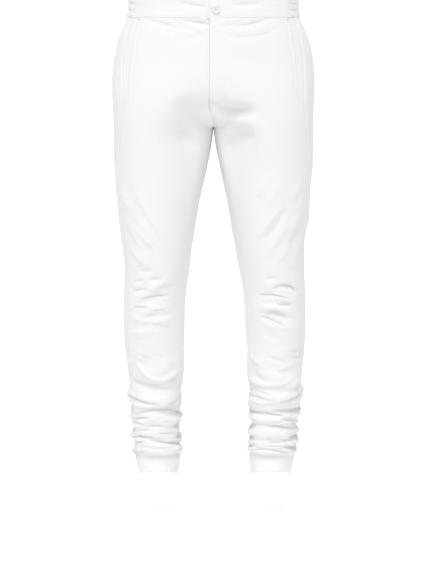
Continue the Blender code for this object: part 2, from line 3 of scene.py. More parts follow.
import bpy
import numpy as np
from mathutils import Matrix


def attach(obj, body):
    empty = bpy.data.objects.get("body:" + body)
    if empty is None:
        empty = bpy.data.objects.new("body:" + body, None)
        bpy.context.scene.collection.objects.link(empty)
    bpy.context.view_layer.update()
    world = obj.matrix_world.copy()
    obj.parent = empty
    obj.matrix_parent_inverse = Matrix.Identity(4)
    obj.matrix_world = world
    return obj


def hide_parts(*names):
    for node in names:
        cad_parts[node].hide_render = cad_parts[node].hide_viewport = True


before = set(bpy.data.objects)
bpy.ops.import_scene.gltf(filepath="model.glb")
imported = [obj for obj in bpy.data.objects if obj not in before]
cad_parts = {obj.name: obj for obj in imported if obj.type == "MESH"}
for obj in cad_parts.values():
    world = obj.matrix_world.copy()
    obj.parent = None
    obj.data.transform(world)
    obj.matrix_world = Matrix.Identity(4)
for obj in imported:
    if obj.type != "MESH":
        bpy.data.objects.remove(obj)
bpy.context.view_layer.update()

# White churidar pants, hollow, as they are worn. Everything is in metres in the part's frame:
# +Z up, the front faces -Y, the wearer's right leg is at -X. A point of the cloth is given by
# its leg, by its turn round that leg (-90 inseam, 0 front, 90 outer side, 180 back, in
# degrees) and by its height on the smooth form, z.

mm = 0.001
sides = {"right": -1.0, "left": 1.0}
sewn = []      # every piece made here


def table(columns, rows):
    # one named array for each column of the rows
    return dict(zip(columns.split(), np.array(rows, dtype=float).T))


def smooth(value, start, end):
    # 0 up to start, 1 past end, 3t^2 - 2t^3 between them
    share = np.clip((value - start) / (end - start), 0, 1)
    return share * share * (3 - 2 * share)


def bell(distance, width):
    # exp(-(d / w)^2)
    return np.exp(-(distance / width)**2)


def spline(knots, values):
    # the natural cubic spline through the points: second derivatives solved once, then
    # y = (M0 b^3 + M1 a^3) / 6h + (y0/h - M0 h/6) b + (y1/h - M1 h/6) a
    gaps = np.diff(knots)
    slopes = np.diff(values) / gaps
    count = len(knots)
    matrix = np.eye(count)
    right = np.zeros(count)
    for row in range(1, count - 1):
        matrix[row, row - 1:row + 2] = gaps[row - 1], 2 * (gaps[row - 1] + gaps[row]), gaps[row]
        right[row] = 6 * (slopes[row] - slopes[row - 1])
    bends = np.linalg.solve(matrix, right)

    def curve(at):
        at = np.clip(at, knots[0], knots[-1])
        k = np.clip(np.searchsorted(knots, at) - 1, 0, count - 2)
        gap, left, over = gaps[k], at - knots[k], knots[k + 1] - at
        bent = (bends[k] * over**3 + bends[k + 1] * left**3) / (6 * gap)
        low = (values[k] / gap - bends[k] * gap / 6) * over
        high = (values[k + 1] / gap - bends[k + 1] * gap / 6) * left
        return bent + low + high

    return curve


# the worn form: the same driving sizes as the solids

body = {
    "riseTop": -50 * mm,        # above this the two legs share one oval
    "crotch": -233 * mm,
    "partingDrop": 2.2,         # powers of the curve by which the legs part
    "partingEnd": 1.7,
    "web": 45 * mm,             # reach of the cloth that bridges the cleft
    "webLeast": 0.01 * mm,
    "webFades": (-1.0, -0.5),   # gone at the outer side, at -1, and whole from half way in
    "squareHip": 0.88,          # power of the sections' depth: under 1 squares the oval
    "squareLeg": 0.98,
    "squareFrom": -200 * mm,
    "squareTo": -400 * mm,
    "hem": -937 * mm,
    "hemRise": 0.36,            # how far the hem climbs for each metre forward
    "hemRiseStart": -850 * mm,
    "hemEase": 15 * mm,         # behind this depth it climbs less
    "hemEased": 0.7,
    "bandTop": 20 * mm,
    "bandBottom": -20 * mm,
    "wall": 1.2 * mm,           # cloth of the panels
    "centreClear": 9 * mm,      # folds fade out this near the centre seam
    "stepRound": 0.004,         # steps of the differences that give the normals
    "stepDown": 0.5 * mm,
}

# sections of the legs, in millimetres: distances of each leg's two sides from the centre
# plane, depths from the line where the section is widest, and the place of that line
sections = table("z outerRight innerRight outerLeft innerLeft front back widest", [
    (-960, 148, 76, 152, 80, 49, 49, 13),
    (-937, 151, 74, 156, 78, 50, 49, 13),
    (-908, 157, 69, 163, 74, 53, 51, 13),
    (-858, 160, 70, 166, 75, 55, 54, 12),
    (-808, 163, 70, 170, 75, 58, 60, 10),
    (-783, 165.5, 69, 173, 74, 60, 62, 9),
    (-758, 168, 64, 176, 72, 62, 64, 7),
    (-709, 174, 59, 180, 68, 65, 67, 4),
    (-660, 179, 59, 184, 66, 67, 66, 1),
    (-611, 180, 58, 184, 63, 70, 64, -2),
    (-562, 179, 55, 183, 59, 74, 66, -4),
    (-513, 177, 48, 181, 51, 81, 74, -4),
    (-465, 182, 41, 182, 41, 88, 84, -3),
    (-417, 188, 34, 188, 33, 95, 94, -1),
    (-369, 193, 26, 193, 25, 102, 104, 1),
    (-321, 196, 15, 196, 15, 108, 115, 3),
    (-277, 197, 6, 197, 6, 114, 127, 4),
    (-233, 197, 0, 197, 0, 121, 133, 6),
    (-183, 198.5, 0, 198.5, 0, 127, 140, 7),
    (-136, 198.5, 0, 198.5, 0, 128, 139, 6),
    (-89, 193, 0, 193, 0, 125, 131, 4),
    (-55, 184, 0, 184, 0, 120, 122, 1),
    (-20, 168, 0, 168, 0, 114, 113, 0),
    (20, 165, 0, 165, 0, 111, 110, 0),
])
profile = {name: spline(sections["z"] * mm, column * mm)
           for name, column in sections.items() if name != "z"}
belowCrotch = sections["z"] <= body["crotch"] / mm
for name in ("innerRight", "innerLeft"):
    profile[name] = spline(sections["z"][belowCrotch] * mm, sections[name][belowCrotch] * mm)


def ovalOf(leg, z):
    # centre and half width of a leg's section, and how far the legs have parted:
    # parted = 1 - (1 - drop^a)^b, and above the crotch inner = (parted - 1)/(parted + 1) outer
    outer = profile["outer" + leg.title()](z)
    drop = np.clip((body["riseTop"] - z) / (body["riseTop"] - body["crotch"]), 0, 1)
    parted = 1 - (1 - drop**body["partingDrop"])**body["partingEnd"]
    shared = (parted - 1) / (parted + 1) * outer
    inner = np.where(z > body["crotch"], shared, profile["inner" + leg.title()](z))
    return (outer + inner) / 2, (outer - inner) / 2, parted


def angleAt(leg, x, z):
    # the angle round the section at a distance x from the centre plane: arccos((c - x) / h)
    centre, half, _ = ovalOf(leg, z)
    return np.arccos(np.clip((centre - x) / half, -1, 1))


def formPoints(leg, angle, z):
    # x = c - h cos(angle); y = widest + reach (1 - cosine^2)^(power / 2), where the cosine is
    # that of |x| + w exp(-|x| / w), which rounds the cleft and fades out towards the outer
    # side; the hem climbs with y
    centre, half, parted = ovalOf(leg, z)
    x = centre - half * np.cos(angle)
    beside = np.abs(x)
    web = np.maximum(body["web"] * np.sqrt(np.clip(1 - parted**2, 0, 1)), body["webLeast"])
    webbed = beside + web * np.exp(-beside / web) * smooth(-beside / (centre + half),
                                                           *body["webFades"])
    cosine = np.clip((centre - webbed) / half, -1, 1)
    slimmed = smooth(-z, -body["squareFrom"], -body["squareTo"])
    power = body["squareHip"] + (body["squareLeg"] - body["squareHip"]) * slimmed
    reach = np.where(np.sin(angle) >= 0, -profile["front"](z), profile["back"](z))
    y = profile["widest"](z) + reach * np.sqrt(1 - cosine**2)**power
    climb = body["hemRise"] * smooth(-z, -body["hemRiseStart"], -body["hem"])
    rearward = y - body["hemEased"] * np.maximum(y - body["hemEase"], 0)
    return np.stack([x, y, z - climb * rearward], axis=-1)


def formNormals(leg, angle, z):
    # the cross product of central differences along both parameters
    turned, raised = body["stepRound"], body["stepDown"]
    along = formPoints(leg, angle + turned, z) - formPoints(leg, angle - turned, z)
    up = formPoints(leg, angle, z + raised) - formPoints(leg, angle, z - raised)
    normal = np.cross(along, up)
    return normal / np.linalg.norm(normal, axis=-1, keepdims=True)


# the folds

# each is a ridge, or a trough where its height is below zero, centred at a turn and a height
# on one leg (-1 right, 1 left); slope is its angle to the horizontal, outer end up, and bow
# lowers its ends below its middle; millimetres and degrees
softFolds = table("leg turn z length width height slope bow", [
    # drag lines under the waistband
    (-1, 6, -31, 64, 5, -2.2, 10, 0), (-1, 17, -40, 96, 5, -2.0, 22, -3),
    (-1, 9, -58, 70, 8, -1.2, 8, 0), (1, 12, -34, 66, 5, -2.0, 12, 0),
    (1, 15, -58, 60, 7, -1.5, 2, -3),
    # hollows beside the crotch
    (-1, -18, -196, 90, 22, -5.0, 40, 0), (1, -21, -198, 92, 13, -5.0, 3, -9),
    (1, -21, -220, 78, 12, 1.6, 4, -6), (1, -24, -245, 64, 15, -5.0, 18, 0),
    (-1, -30, -250, 80, 14, -3.5, 48, 0),
    # drag lines across the thighs, towards the knees
    (-1, 38, -395, 150, 9, 4.2, 58, 4), (-1, 26, -420, 120, 8, -4.0, 60, 4),
    (-1, 34, -440, 110, 8, 3.6, 62, 4), (-1, 55, -492, 60, 9, 3.0, 38, 0),
    (1, 38, -352, 70, 8, 3.0, 58, 0), (1, 44, -380, 50, 8, 2.6, 50, 0),
    (1, 36, -421, 110, 8, 4.2, 60, 4), (1, 42, -440, 100, 7, -4.0, 58, 4),
    (1, 60, -448, 130, 10, 4.4, 56, 4),
    # ripples at and below the knees
    (-1, -8, -538, 70, 10, 4.2, -24, 0), (-1, 4, -574, 90, 7, -3.6, 4, 3),
    (-1, 14, -590, 80, 8, 3.8, 3, 3), (-1, 34, -594, 50, 5, -3.0, 2, 0),
    (-1, -14, -598, 60, 5, -3.4, 4, 0), (-1, 10, -611, 110, 7, 4.0, 4, -4),
    (-1, 20, -634, 90, 10, 3.0, -8, -4), (1, 12, -553, 66, 6, -3.6, -12, 5),
    (1, 10, -564, 70, 6, 4.2, -12, 5), (1, -2, -573, 66, 5, -3.8, -6, 4),
    (1, -2, -585, 80, 7, 4.2, -2, 2), (1, 16, -602, 70, 6, -3.6, -20, -5),
    (1, 4, -620, 90, 9, 4.2, -16, -5), (1, -8, -642, 66, 8, -2.8, -28, 0),
    # long swags on the calves, above the rolls
    (-1, -6, -716, 100, 13, 5.0, -28, -12), (-1, 30, -745, 80, 8, -4.5, 6, -6),
    (-1, -52, -700, 60, 10, 3.2, 30, 0), (1, -8, -726, 120, 12, 5.5, -14, -16),
    (1, 40, -742, 70, 9, 4.5, 16, -6), (1, 10, -768, 110, 8, 5.0, 0, -12),
    # the same at the sides and behind
    (-1, 150, -222, 140, 22, -3.0, 20, -10), (1, 148, -226, 130, 22, -3.0, 22, -10),
    (-1, 168, -268, 130, 20, -4.0, 24, -12), (1, 165, -264, 140, 20, -4.0, 20, -12),
    (-1, 176, -312, 120, 17, 3.2, 26, -8), (1, 178, -308, 130, 17, 3.2, 22, -8),
    (-1, 120, -420, 120, 10, 3.6, -50, 0), (1, 126, -430, 110, 10, 3.6, -48, 0),
    (-1, 178, -540, 96, 9, 4.4, 8, -8), (1, 184, -536, 100, 9, 4.4, -6, -8),
    (-1, 190, -566, 110, 8, -5.0, -6, -8), (1, 176, -562, 104, 8, -5.0, 7, -8),
    (-1, 176, -590, 104, 8, 4.6, 5, -6), (1, 188, -588, 110, 8, 4.6, -5, -6),
    (-1, 130, -604, 60, 7, -3.4, -18, 0), (1, 134, -600, 60, 7, -3.4, -20, 0),
    (-1, 186, -616, 90, 9, -3.4, -9, 0), (1, 180, -612, 90, 9, -3.4, 8, 0),
    (-1, 160, -704, 110, 12, 4.4, 16, -10), (1, 166, -710, 110, 12, 4.4, 14, -10),
    (-1, 200, -742, 90, 9, 4.4, -14, -8), (1, 204, -738, 90, 9, 4.4, -12, -8),
])

# the churi, rolls of spare cloth above the ankles: reach is half of the turn that a roll
# covers, half is half of its height and out how far it stands out; tilt is the climb of its
# outer end over its inner end, and bow lowers both ends
rolls = table("leg turn reach z half out tilt bow", [
    # right leg, in front
    (-1, 20, 120, -779, 13, 12.0, 6, -10), (-1, -25, 85, -798, 9, 5.0, 0, 3),
    (-1, 75, 60, -816, 11, 8.0, -2, 0), (-1, -60, 75, -820, 9, 9.0, 3, 0),
    (-1, 5, 55, -813, 7, 5.0, 4, 0), (-1, 40, 70, -829, 7, 5.5, 0, 0),
    (-1, -10, 70, -843, 8, 6.0, -4, 0), (-1, 90, 75, -858, 8, 10.5, 6, 0),
    (-1, 30, 50, -865, 5, 3.5, 0, 0), (-1, -50, 65, -866, 9, 6.0, 2, 0),
    (-1, 10, 150, -889, 10, 8.5, -12, 0),
    # right leg, behind
    (-1, 165, 95, -778, 11, 6.5, -6, -4), (-1, 215, 80, -796, 9, 6.0, 8, 3),
    (-1, 150, 85, -803, 8, 5.5, -6, 2), (-1, 190, 90, -820, 9, 6.5, 5, -3),
    (-1, 140, 60, -832, 7, 4.5, 3, 0), (-1, 215, 75, -840, 8, 5.5, 6, 2),
    (-1, 165, 85, -849, 8, 6.0, -5, 0), (-1, 225, 60, -862, 7, 4.5, 4, 0),
    (-1, 175, 90, -871, 8, 5.0, 3, 0), (-1, 195, 110, -889, 9, 6.0, 2, 0),
    # left leg, in front
    (1, 25, 120, -774, 13, 10.5, 14, -10), (1, -35, 85, -790, 14, 5.0, 0, 0),
    (1, 75, 60, -789, 9, 4.0, 0, 0), (1, 75, 70, -807, 9, 7.5, -4, 0),
    (1, -35, 80, -817, 11, 6.0, 0, 0), (1, 60, 65, -829, 7, 5.0, 0, 0),
    (1, -30, 90, -846, 11, 9.0, 2, 0), (1, 75, 60, -847, 8, 7.0, 0, 0),
    (1, 70, 70, -868, 9, 8.5, 2, 0), (1, -30, 80, -869, 9, 6.0, 0, 0),
    (1, 15, 35, -877, 5, 3.0, -3, 0), (1, 10, 140, -887, 8, 6.0, -3, 0),
    # left leg, behind
    (1, 170, 95, -772, 11, 6.0, -6, -4), (1, 210, 80, -790, 9, 6.0, 7, 3),
    (1, 145, 80, -797, 8, 5.5, -5, 2), (1, 185, 90, -814, 9, 6.5, 4, -3),
    (1, 225, 65, -828, 8, 5.0, 6, 0), (1, 155, 75, -833, 8, 5.5, -4, 2),
    (1, 195, 85, -848, 8, 6.0, 5, 0), (1, 145, 60, -859, 7, 5.0, -3, 0),
    (1, 210, 75, -868, 7, 5.0, 3, 0), (1, 165, 100, -882, 8, 5.5, -2, 0),
])

# broad, soft places where the cloth is turned from the light and takes painted shade: the share of
# the full painted grey
hollows = table("leg turn z length width shade slope bow", [
    (1, -24, -198, 90, 12, 0.28, 4, -9),
    (1, -31, -251, 96, 19, 0.19, 8, 0),
    (1, -70, -208, 60, 12, 0.34, 90, 0),
    (-1, -22, -206, 110, 34, 0.12, 42, 0),
    (-1, -10, -234, 96, 26, 0.09, 20, 0),
    (-1, -42, -390, 330, 28, 0.09, 90, 0),
    (1, -42, -370, 300, 28, 0.09, 90, 0),
])

# sharp creases and the ridges between them, by their two ends as they are seen from in front,
# in millimetres; below zero x is on the right leg, and past a leg's edge it goes on round it.
# sag lowers the middle; a depth below zero is a ridge; above and below are the widths of the
# two sides, so that a crease with a narrow side above overhangs a broad, upturned facet
creases = table("x0 z0 x1 z1 sag depth above below", [
    # on the waistband and under it
    (-66, 8.5, -12, -1, -1, 2.8, 3.2, 6), (30, 5, 94, 8, 1, 2.7, 3.8, 6),
    (-12, -22.5, -3, -24.5, 0, 4.0, 2, 2), (-63, -25, -4, -35, -1, 3.0, 2.2, 6),
    (-132, -24, -48, -43, -2, 2.4, 3, 7), (-81, -58, -12, -58, 1, 1.4, 5, 9),
    (32, -38, 105, -22, 1.5, 2.8, 2.6, 7), (32, -57, 128, -32, 8, 1.9, 4, 9),
    (30, -98, 124, -104, 4, 1.6, 22, 24),
    # beside the crotch
    (10, -190, 100, -197, 3, 2.6, 13, 14), (12, -262, 80, -250, 4, 6.0, 22, 40),
    (-112, -262, -4, -232, 6, 6.0, 32, 60),
    # drag lines across the thighs
    (-152, -350, -90, -458, 2, -3.8, 9, 5), (-150, -372, -110, -440, 2, 0.5, 9, 9),
    (-156, -395, -130, -432, 1, -2.2, 6, 3), (-156, -414, -118, -460, 2, -6.8, 8, 7),
    (-162, -462, -130, -496, 3, -3.8, 8, 4), (86, -363, 112, -317, 1, -3.0, 6, 5),
    (105, -377, 128, -339, 1, -3.0, 6, 5), (87, -446, 134, -376, 1, -4.2, 8, 4),
    (101, -447, 141, -381, 3, 2.3, 4.4, 6), (103, -484, 166, -395, -3, -3.2, 7, 6),
    (131, -465, 150, -430, 1, 1.6, 5, 5), (120, -491, 162, -447, 2, -3.0, 7, 5),
    # right knee
    (-148, -508, -117, -508, 0, 2.2, 3, 6), (-126, -526, -99, -525, 0, 2.4, 2.5, 6),
    (-157, -531, -136, -527, 0, 2.0, 2.5, 5), (-114, -543, -68, -535, 2, 1.7, 4, 8),
    (-161, -554, -124, -548, -5, 2.8, 2.5, 6), (-143, -566, -85, -557, -2, 4.4, 1.9, 7),
    (-104, -569, -84, -569, 0, 1.6, 2, 4), (-160, -583, -124, -583, -1, 3.8, 2.1, 7),
    (-125, -589, -92, -589, -1, 2.6, 2.0, 6), (-145, -608, -106, -602, -5, 2.0, 3.2, 9),
    (-123, -618, -102, -615, 0, 1.3, 2, 6),
    # left knee
    (99, -524, 126, -522, 0, 1.8, 3, 6), (148, -504, 186, -520, 0, 2.2, 6, 9),
    (114, -545, 166, -554, -11, 5.8, 3.0, 6), (88, -559, 150, -566, -5, 5.2, 2.3, 7),
    (122, -578, 155, -574, 0, 3.6, 1.9, 8), (102, -592, 144, -600, -5, 4.0, 2.1, 7),
    (90, -601, 140, -621, -3, 3.2, 2.3, 8),
    # right calf
    (-153, -679, -131, -686, -1, 1.1, 1.6, 3), (-147, -699, -118, -699, 0, 1.1, 2, 5),
    (-157, -688, -66, -706, 36, -5.6, 7, 3.5), (-150, -688, -72, -702, 26, 2.8, 14, 6),
    (-168, -727, -106, -741, 3, 2.6, 2.8, 6), (-94, -731, -70, -728, 0, 2.2, 3, 5),
    (-124, -751, -76, -750, -1, 2.2, 3.0, 5), (-158, -741, -151, -764, 0, 1.3, 3, 3),
    # left calf
    (94, -672, 112, -674, 0, 0.9, 2, 4), (102, -682, 141, -693, 0, 1.6, 2, 5),
    (147, -673, 178, -672, 0, 2.0, 3, 5), (147, -685, 176, -684, 0, 2.0, 3, 5),
    (73, -683, 100, -703, 0, -3.6, 6, 4), (126, -711, 158, -702, 1, -3.2, 5, 3),
    (68, -712, 162, -722, 26, -5.6, 7, 3.5), (74, -704, 158, -714, 24, 2.8, 14, 6),
    (138, -747, 171, -731, 2, -3.2, 6, 2.5), (88, -748, 132, -764, 0, -3.2, 5, 2.5),
    (128, -764, 166, -747, 1, -3.2, 5, 2.5),
    # right ankle
    (-172, -752, -110, -777, 1, 5.8, 2.4, 6), (-97, -782, -66, -757, -1, 4.4, 4, 4),
    (-154, -798, -58, -816, -17, 5.6, 2.6, 5), (-112, -797, -62, -815, -4, 3.4, 3.4, 3),
    (-158, -808, -126, -806, -1, 3.8, 1.9, 4), (-158, -815, -141, -817, 0, 3.2, 2.2, 3),
    (-131, -824, -106, -823, -1, 3.2, 1.8, 4), (-86, -823, -67, -823, 0, 5.0, 3, 3),
    (-142, -831, -125, -831, 0, 1.6, 1.6, 3), (-114, -838, -80, -838, 0, 3.2, 1.6, 4),
    (-82, -849, -65, -849, 0, 3.6, 2.6, 2.6), (-160, -849, -118, -848, -3, 4.4, 1.9, 3),
    (-160, -856, -133, -854, 1, 3.8, 1.9, 3), (-131, -853, -60, -859, 3, 5.6, 2.1, 4),
    (-92, -861, -70, -862, 0, 3.2, 2.6, 3), (-78, -872, -60, -874, 0, 3.4, 2.2, 3),
    (-168, -881, -126, -881, 3, 3.4, 2.6, 4), (-85, -880, -64, -893, 1, 2.8, 3, 4),
    # left ankle
    (64, -757, 128, -771, -3, 3.4, 3, 5), (126, -772, 178, -744, 3, 5.8, 2.6, 5),
    (66, -799, 112, -796, -4, 4.8, 1.9, 3.5), (103, -795, 140, -801, 1, 4.6, 1.9, 3.5),
    (88, -800, 113, -802, 0, 1.6, 2, 3), (121, -792, 176, -788, -2, 7.5, 2.4, 5),
    (132, -808, 166, -806, 1, 4.4, 1.9, 3), (114, -814, 136, -814, 0, 1.7, 1.6, 3),
    (150, -817, 172, -821, 0, 4.4, 2.2, 2.6), (64, -819, 107, -820, -1, 2.8, 1.9, 4),
    (102, -821, 166, -827, 1, 5.2, 2.1, 3.5), (62, -827, 89, -826, 0, 6.5, 2.8, 3),
    (147, -845, 172, -845, 0, 6.5, 3, 3), (68, -848, 87, -850, 0, 5.4, 2.6, 3),
    (132, -854, 158, -853, 0, 3.8, 1.6, 3), (106, -859, 136, -859, 0, 2.8, 1.4, 2.5),
    (70, -865, 91, -866, 0, 4.4, 2.4, 2.6), (106, -866, 136, -866, 0, 2.8, 1.4, 2.5),
    (136, -866, 172, -870, 3, 6.4, 2.3, 3), (82, -878, 117, -876, -1, 2.8, 1.6, 3),
    (112, -876, 158, -881, 3, 4.4, 1.9, 3),
])

sightFrom = 3.4     # metres in front, at the height of the waist

# crumples strewn between the creases: how many on each leg, the turns and heights that they
# keep to, the ranges of their lengths and depths, the spread of their slopes, and how much
# wider than sharp they are
crumples = table(
    "count turnFrom turnTo high low lengthFrom lengthTo slope depthFrom depthTo wide", [
        (34, -75, 75, -765, -888, 10, 26, 14, 0.5, 1.4, 1),
        (110, 80, 278, -758, -890, 22, 70, 16, 1.6, 5.0, 1),
        (16, -60, 60, -520, -640, 12, 30, 30, 0.3, 0.9, 1),
        (26, 110, 250, -505, -645, 24, 60, 26, 0.8, 2.6, 1.3),
        (12, -60, 60, -655, -745, 16, 40, 20, 0.3, 0.8, 1.2),
        (16, 90, 270, -650, -745, 24, 60, 26, 0.6, 1.8, 2),
        (12, 100, 250, -330, -490, 60, 130, 30, 0.8, 2.0, 5),
    ])

crumpleStyle = {
    "seed": 11,
    "legRadius": 55,            # turns a length into degrees
    "sag": 0.12,                # up or down, at most, as a share of the length
    "above": (1.6, 2.6),        # ranges of the widths of the two sides
    "below": (3.0, 6.0),
}

foldStyle = {
    "flank": 0.28,              # a ridge's shallow hollows on both sides
    "flankReach": 2.1,
    "softShare": 0.6,           # the soft folds' share where sharp creases take over, ...
    "softTurns": (70, 100),     # ... in front, up to these turns ...
    "softFrom": 300 * mm,       # ... and below these heights
    "softTo": 400 * mm,
    "rollTaper": 0.6,
    "rollPower": 0.75,          # 0.5 is a half circle, 1 a parabola
    "rollEnds": 0.6,            # a roll's height at its ends, as a share of its middle's
    "rollMerge": 6.0,           # how sharply neighbouring rolls meet
    "rollTurns": (52, 86),      # in front, up to these turns, ...
    "rollFront": 0.35,          # ... the rolls flatten to this share of their height, ...
    "rollGround": 5.0 * mm,     # ... on spare cloth that stands out this far, ...
    "groundTop": (745 * mm, 775 * mm),      # ... between these heights
    "groundFoot": (880 * mm, 898 * mm),
    "droop": 0.5,               # a roll hangs by this share of its height, a crease climbs
    "creaseTaper": 0.7,
    "spreadAbove": 1.35,        # a crease's sides reach this many of their widths
    "spreadBelow": 1.15,
    "bottom": 0.05,             # rounding of its bottom, as a share of both widths
    "swell": 0.45,              # the fold below it stands out by this share of its depth, ...
    "swellFull": 4.0,           # ... less if its upper side is wider than this
    "swellAt": 1.6,             # the fold's top, in widths of the lower side, and its reach
    "swellReach": (0.9, 2.2),   # towards the crease and away from it
    "deepest": 9.0 * mm,        # creases that cross add up to no more than this
    "shadeDepth": 4.5 * mm,     # creases this deep get the full painted shade
    "shadePower": 1.3,
    "shadeEdge": 0.8,           # the painted shade starts this near the crease's line
    "shadeWidths": (1.6, 3.5),  # it is least where the upper side is wide
    "underBand": 24 * mm,       # folds start between the band's lower edge and this depth
}


def turnFrom(turn, middle):
    # the shortest way round, in degrees
    return (turn - middle + 180) % 360 - 180


def foldFrame(leg, fold, turn, z):
    # along runs from -1 to 1 on the fold's length, across is the distance from its bowed line
    _, radius, _ = ovalOf(leg, np.array(fold["z"] * mm))
    around = np.radians(turnFrom(turn, fold["turn"])) * radius
    up = z - fold["z"] * mm
    slope = math.radians(fold["slope"])
    along = (around * math.cos(slope) + up * math.sin(slope)) / (fold["length"] * mm / 2)
    across = up * math.cos(slope) - around * math.sin(slope) + fold["bow"] * mm * along**2
    return along, across


def foldsOn(leg, folds):
    # one dictionary for each row of a table that lies on this leg
    return [{name: column[k] for name, column in folds.items()}
            for k in np.flatnonzero(folds["leg"] == sides[leg])]


def softRelief(leg, turn, z):
    # the sum of h (1 - along^2)^1.5 (exp(-a^2) - f exp(-(a / r)^2)) / (1 - f)
    relief = np.zeros(np.shape(z))
    flank = foldStyle["flank"]
    for fold in foldsOn(leg, softFolds):
        along, across = foldFrame(leg, fold, turn, z)
        share = across / (fold["width"] * mm)
        fade = np.clip(1 - along**2, 0, 1)**1.5
        ridge = bell(share, 1.0) - flank * bell(share, foldStyle["flankReach"])
        relief += fold["height"] * mm * fade * ridge / (1 - flank)
    return relief


def rollRelief(leg, turn, z):
    # each roll is out (1 - along^2)^t (1 - across^2)^p, and they meet in (sum h^q)^(1/q)
    power = foldStyle["rollMerge"]
    total = np.zeros(np.shape(z))
    for roll in foldsOn(leg, rolls):
        along = np.clip(turnFrom(turn, roll["turn"]) / roll["reach"], -1, 1)
        taper = 1 - along**2
        out = roll["out"] * taper**foldStyle["rollTaper"]
        middle = roll["z"] + roll["tilt"] / 2 * along - roll["bow"] * along**2
        middle = (middle + foldStyle["droop"] * out) * mm
        slimmed = foldStyle["rollEnds"] + (1 - foldStyle["rollEnds"]) * taper
        across = (z - middle) / (roll["half"] * mm * slimmed)
        total += (out * np.clip(1 - across**2, 0, 1)**foldStyle["rollPower"])**power
    # in front, where the creases part the cloth into folds, the rolls only carry it
    ahead = 1 - smooth(np.abs(turnFrom(turn, 0)), *foldStyle["rollTurns"])
    ground = smooth(-z, *foldStyle["groundTop"]) * (1 - smooth(-z, *foldStyle["groundFoot"]))
    rolled = total**(1 / power) * mm
    return (rolled * (1 - (1 - foldStyle["rollFront"]) * ahead)
            + foldStyle["rollGround"] * ahead * ground)


def turnOf(leg, x, z):
    # the turn at a distance x from the leg's middle, going on round past its edge
    centre, half, _ = ovalOf(leg, np.array(z * mm))
    share = (abs(x) * mm - centre) / half
    inside = min(max(share, -1), 1)
    return math.degrees(math.asin(inside) + share - inside)


def lowered(turn, z):
    # what lies back from the leg's front is seen higher than it is: (1 - cos) * depth * slope
    return (1 - math.cos(math.radians(turn))) * float(profile["front"](z * mm)) * -z / sightFrom


def strewn(leg):
    # the crumples of one leg, drawn anew in the same way each time
    draw = np.random.default_rng(crumpleStyle["seed"] + (leg == "left"))
    made = []
    for k in range(len(crumples["count"])):
        kind = {name: column[k] for name, column in crumples.items()}
        for _ in range(int(kind["count"])):
            turn = draw.uniform(kind["turnFrom"], kind["turnTo"])
            z = draw.uniform(kind["low"], kind["high"])
            length = draw.uniform(kind["lengthFrom"], kind["lengthTo"])
            slope = math.radians(draw.normal(0, kind["slope"]))
            depth = draw.uniform(kind["depthFrom"], kind["depthTo"])
            half = math.degrees(length * math.cos(slope) / 2 / crumpleStyle["legRadius"])
            rise = length * math.sin(slope) / 2
            sag = draw.uniform(-crumpleStyle["sag"], crumpleStyle["sag"]) * length
            above = draw.uniform(*crumpleStyle["above"]) * kind["wide"]
            below = draw.uniform(*crumpleStyle["below"]) * kind["wide"]
            made.append({"turn0": turn - half, "turn1": turn + half, "z0": z - rise,
                         "z1": z + rise, "sag": sag, "depth": depth, "above": above,
                         "below": below})
    return made


def placed(leg):
    # the creases of the table that lie on one leg, with their ends as turns
    rows = []
    for k in np.flatnonzero(np.sign(creases["x0"] + creases["x1"]) == sides[leg]):
        row = {name: column[k] for name, column in creases.items()}
        ends = [(turnOf(leg, row["x" + end], row["z" + end]), row["z" + end]) for end in "01"]
        ends.sort()
        low = [lowered(turn, z) for turn, z in ends]
        middle = lowered((ends[0][0] + ends[1][0]) / 2, (ends[0][1] + ends[1][1]) / 2)
        row["sag"] -= sum(low) / 2 - middle
        row.update(turn0=ends[0][0], z0=ends[0][1] - low[0],
                   turn1=ends[1][0], z1=ends[1][1] - low[1])
        rows.append(row)
    return rows


allCreases = {leg: placed(leg) + strewn(leg) for leg in sides}


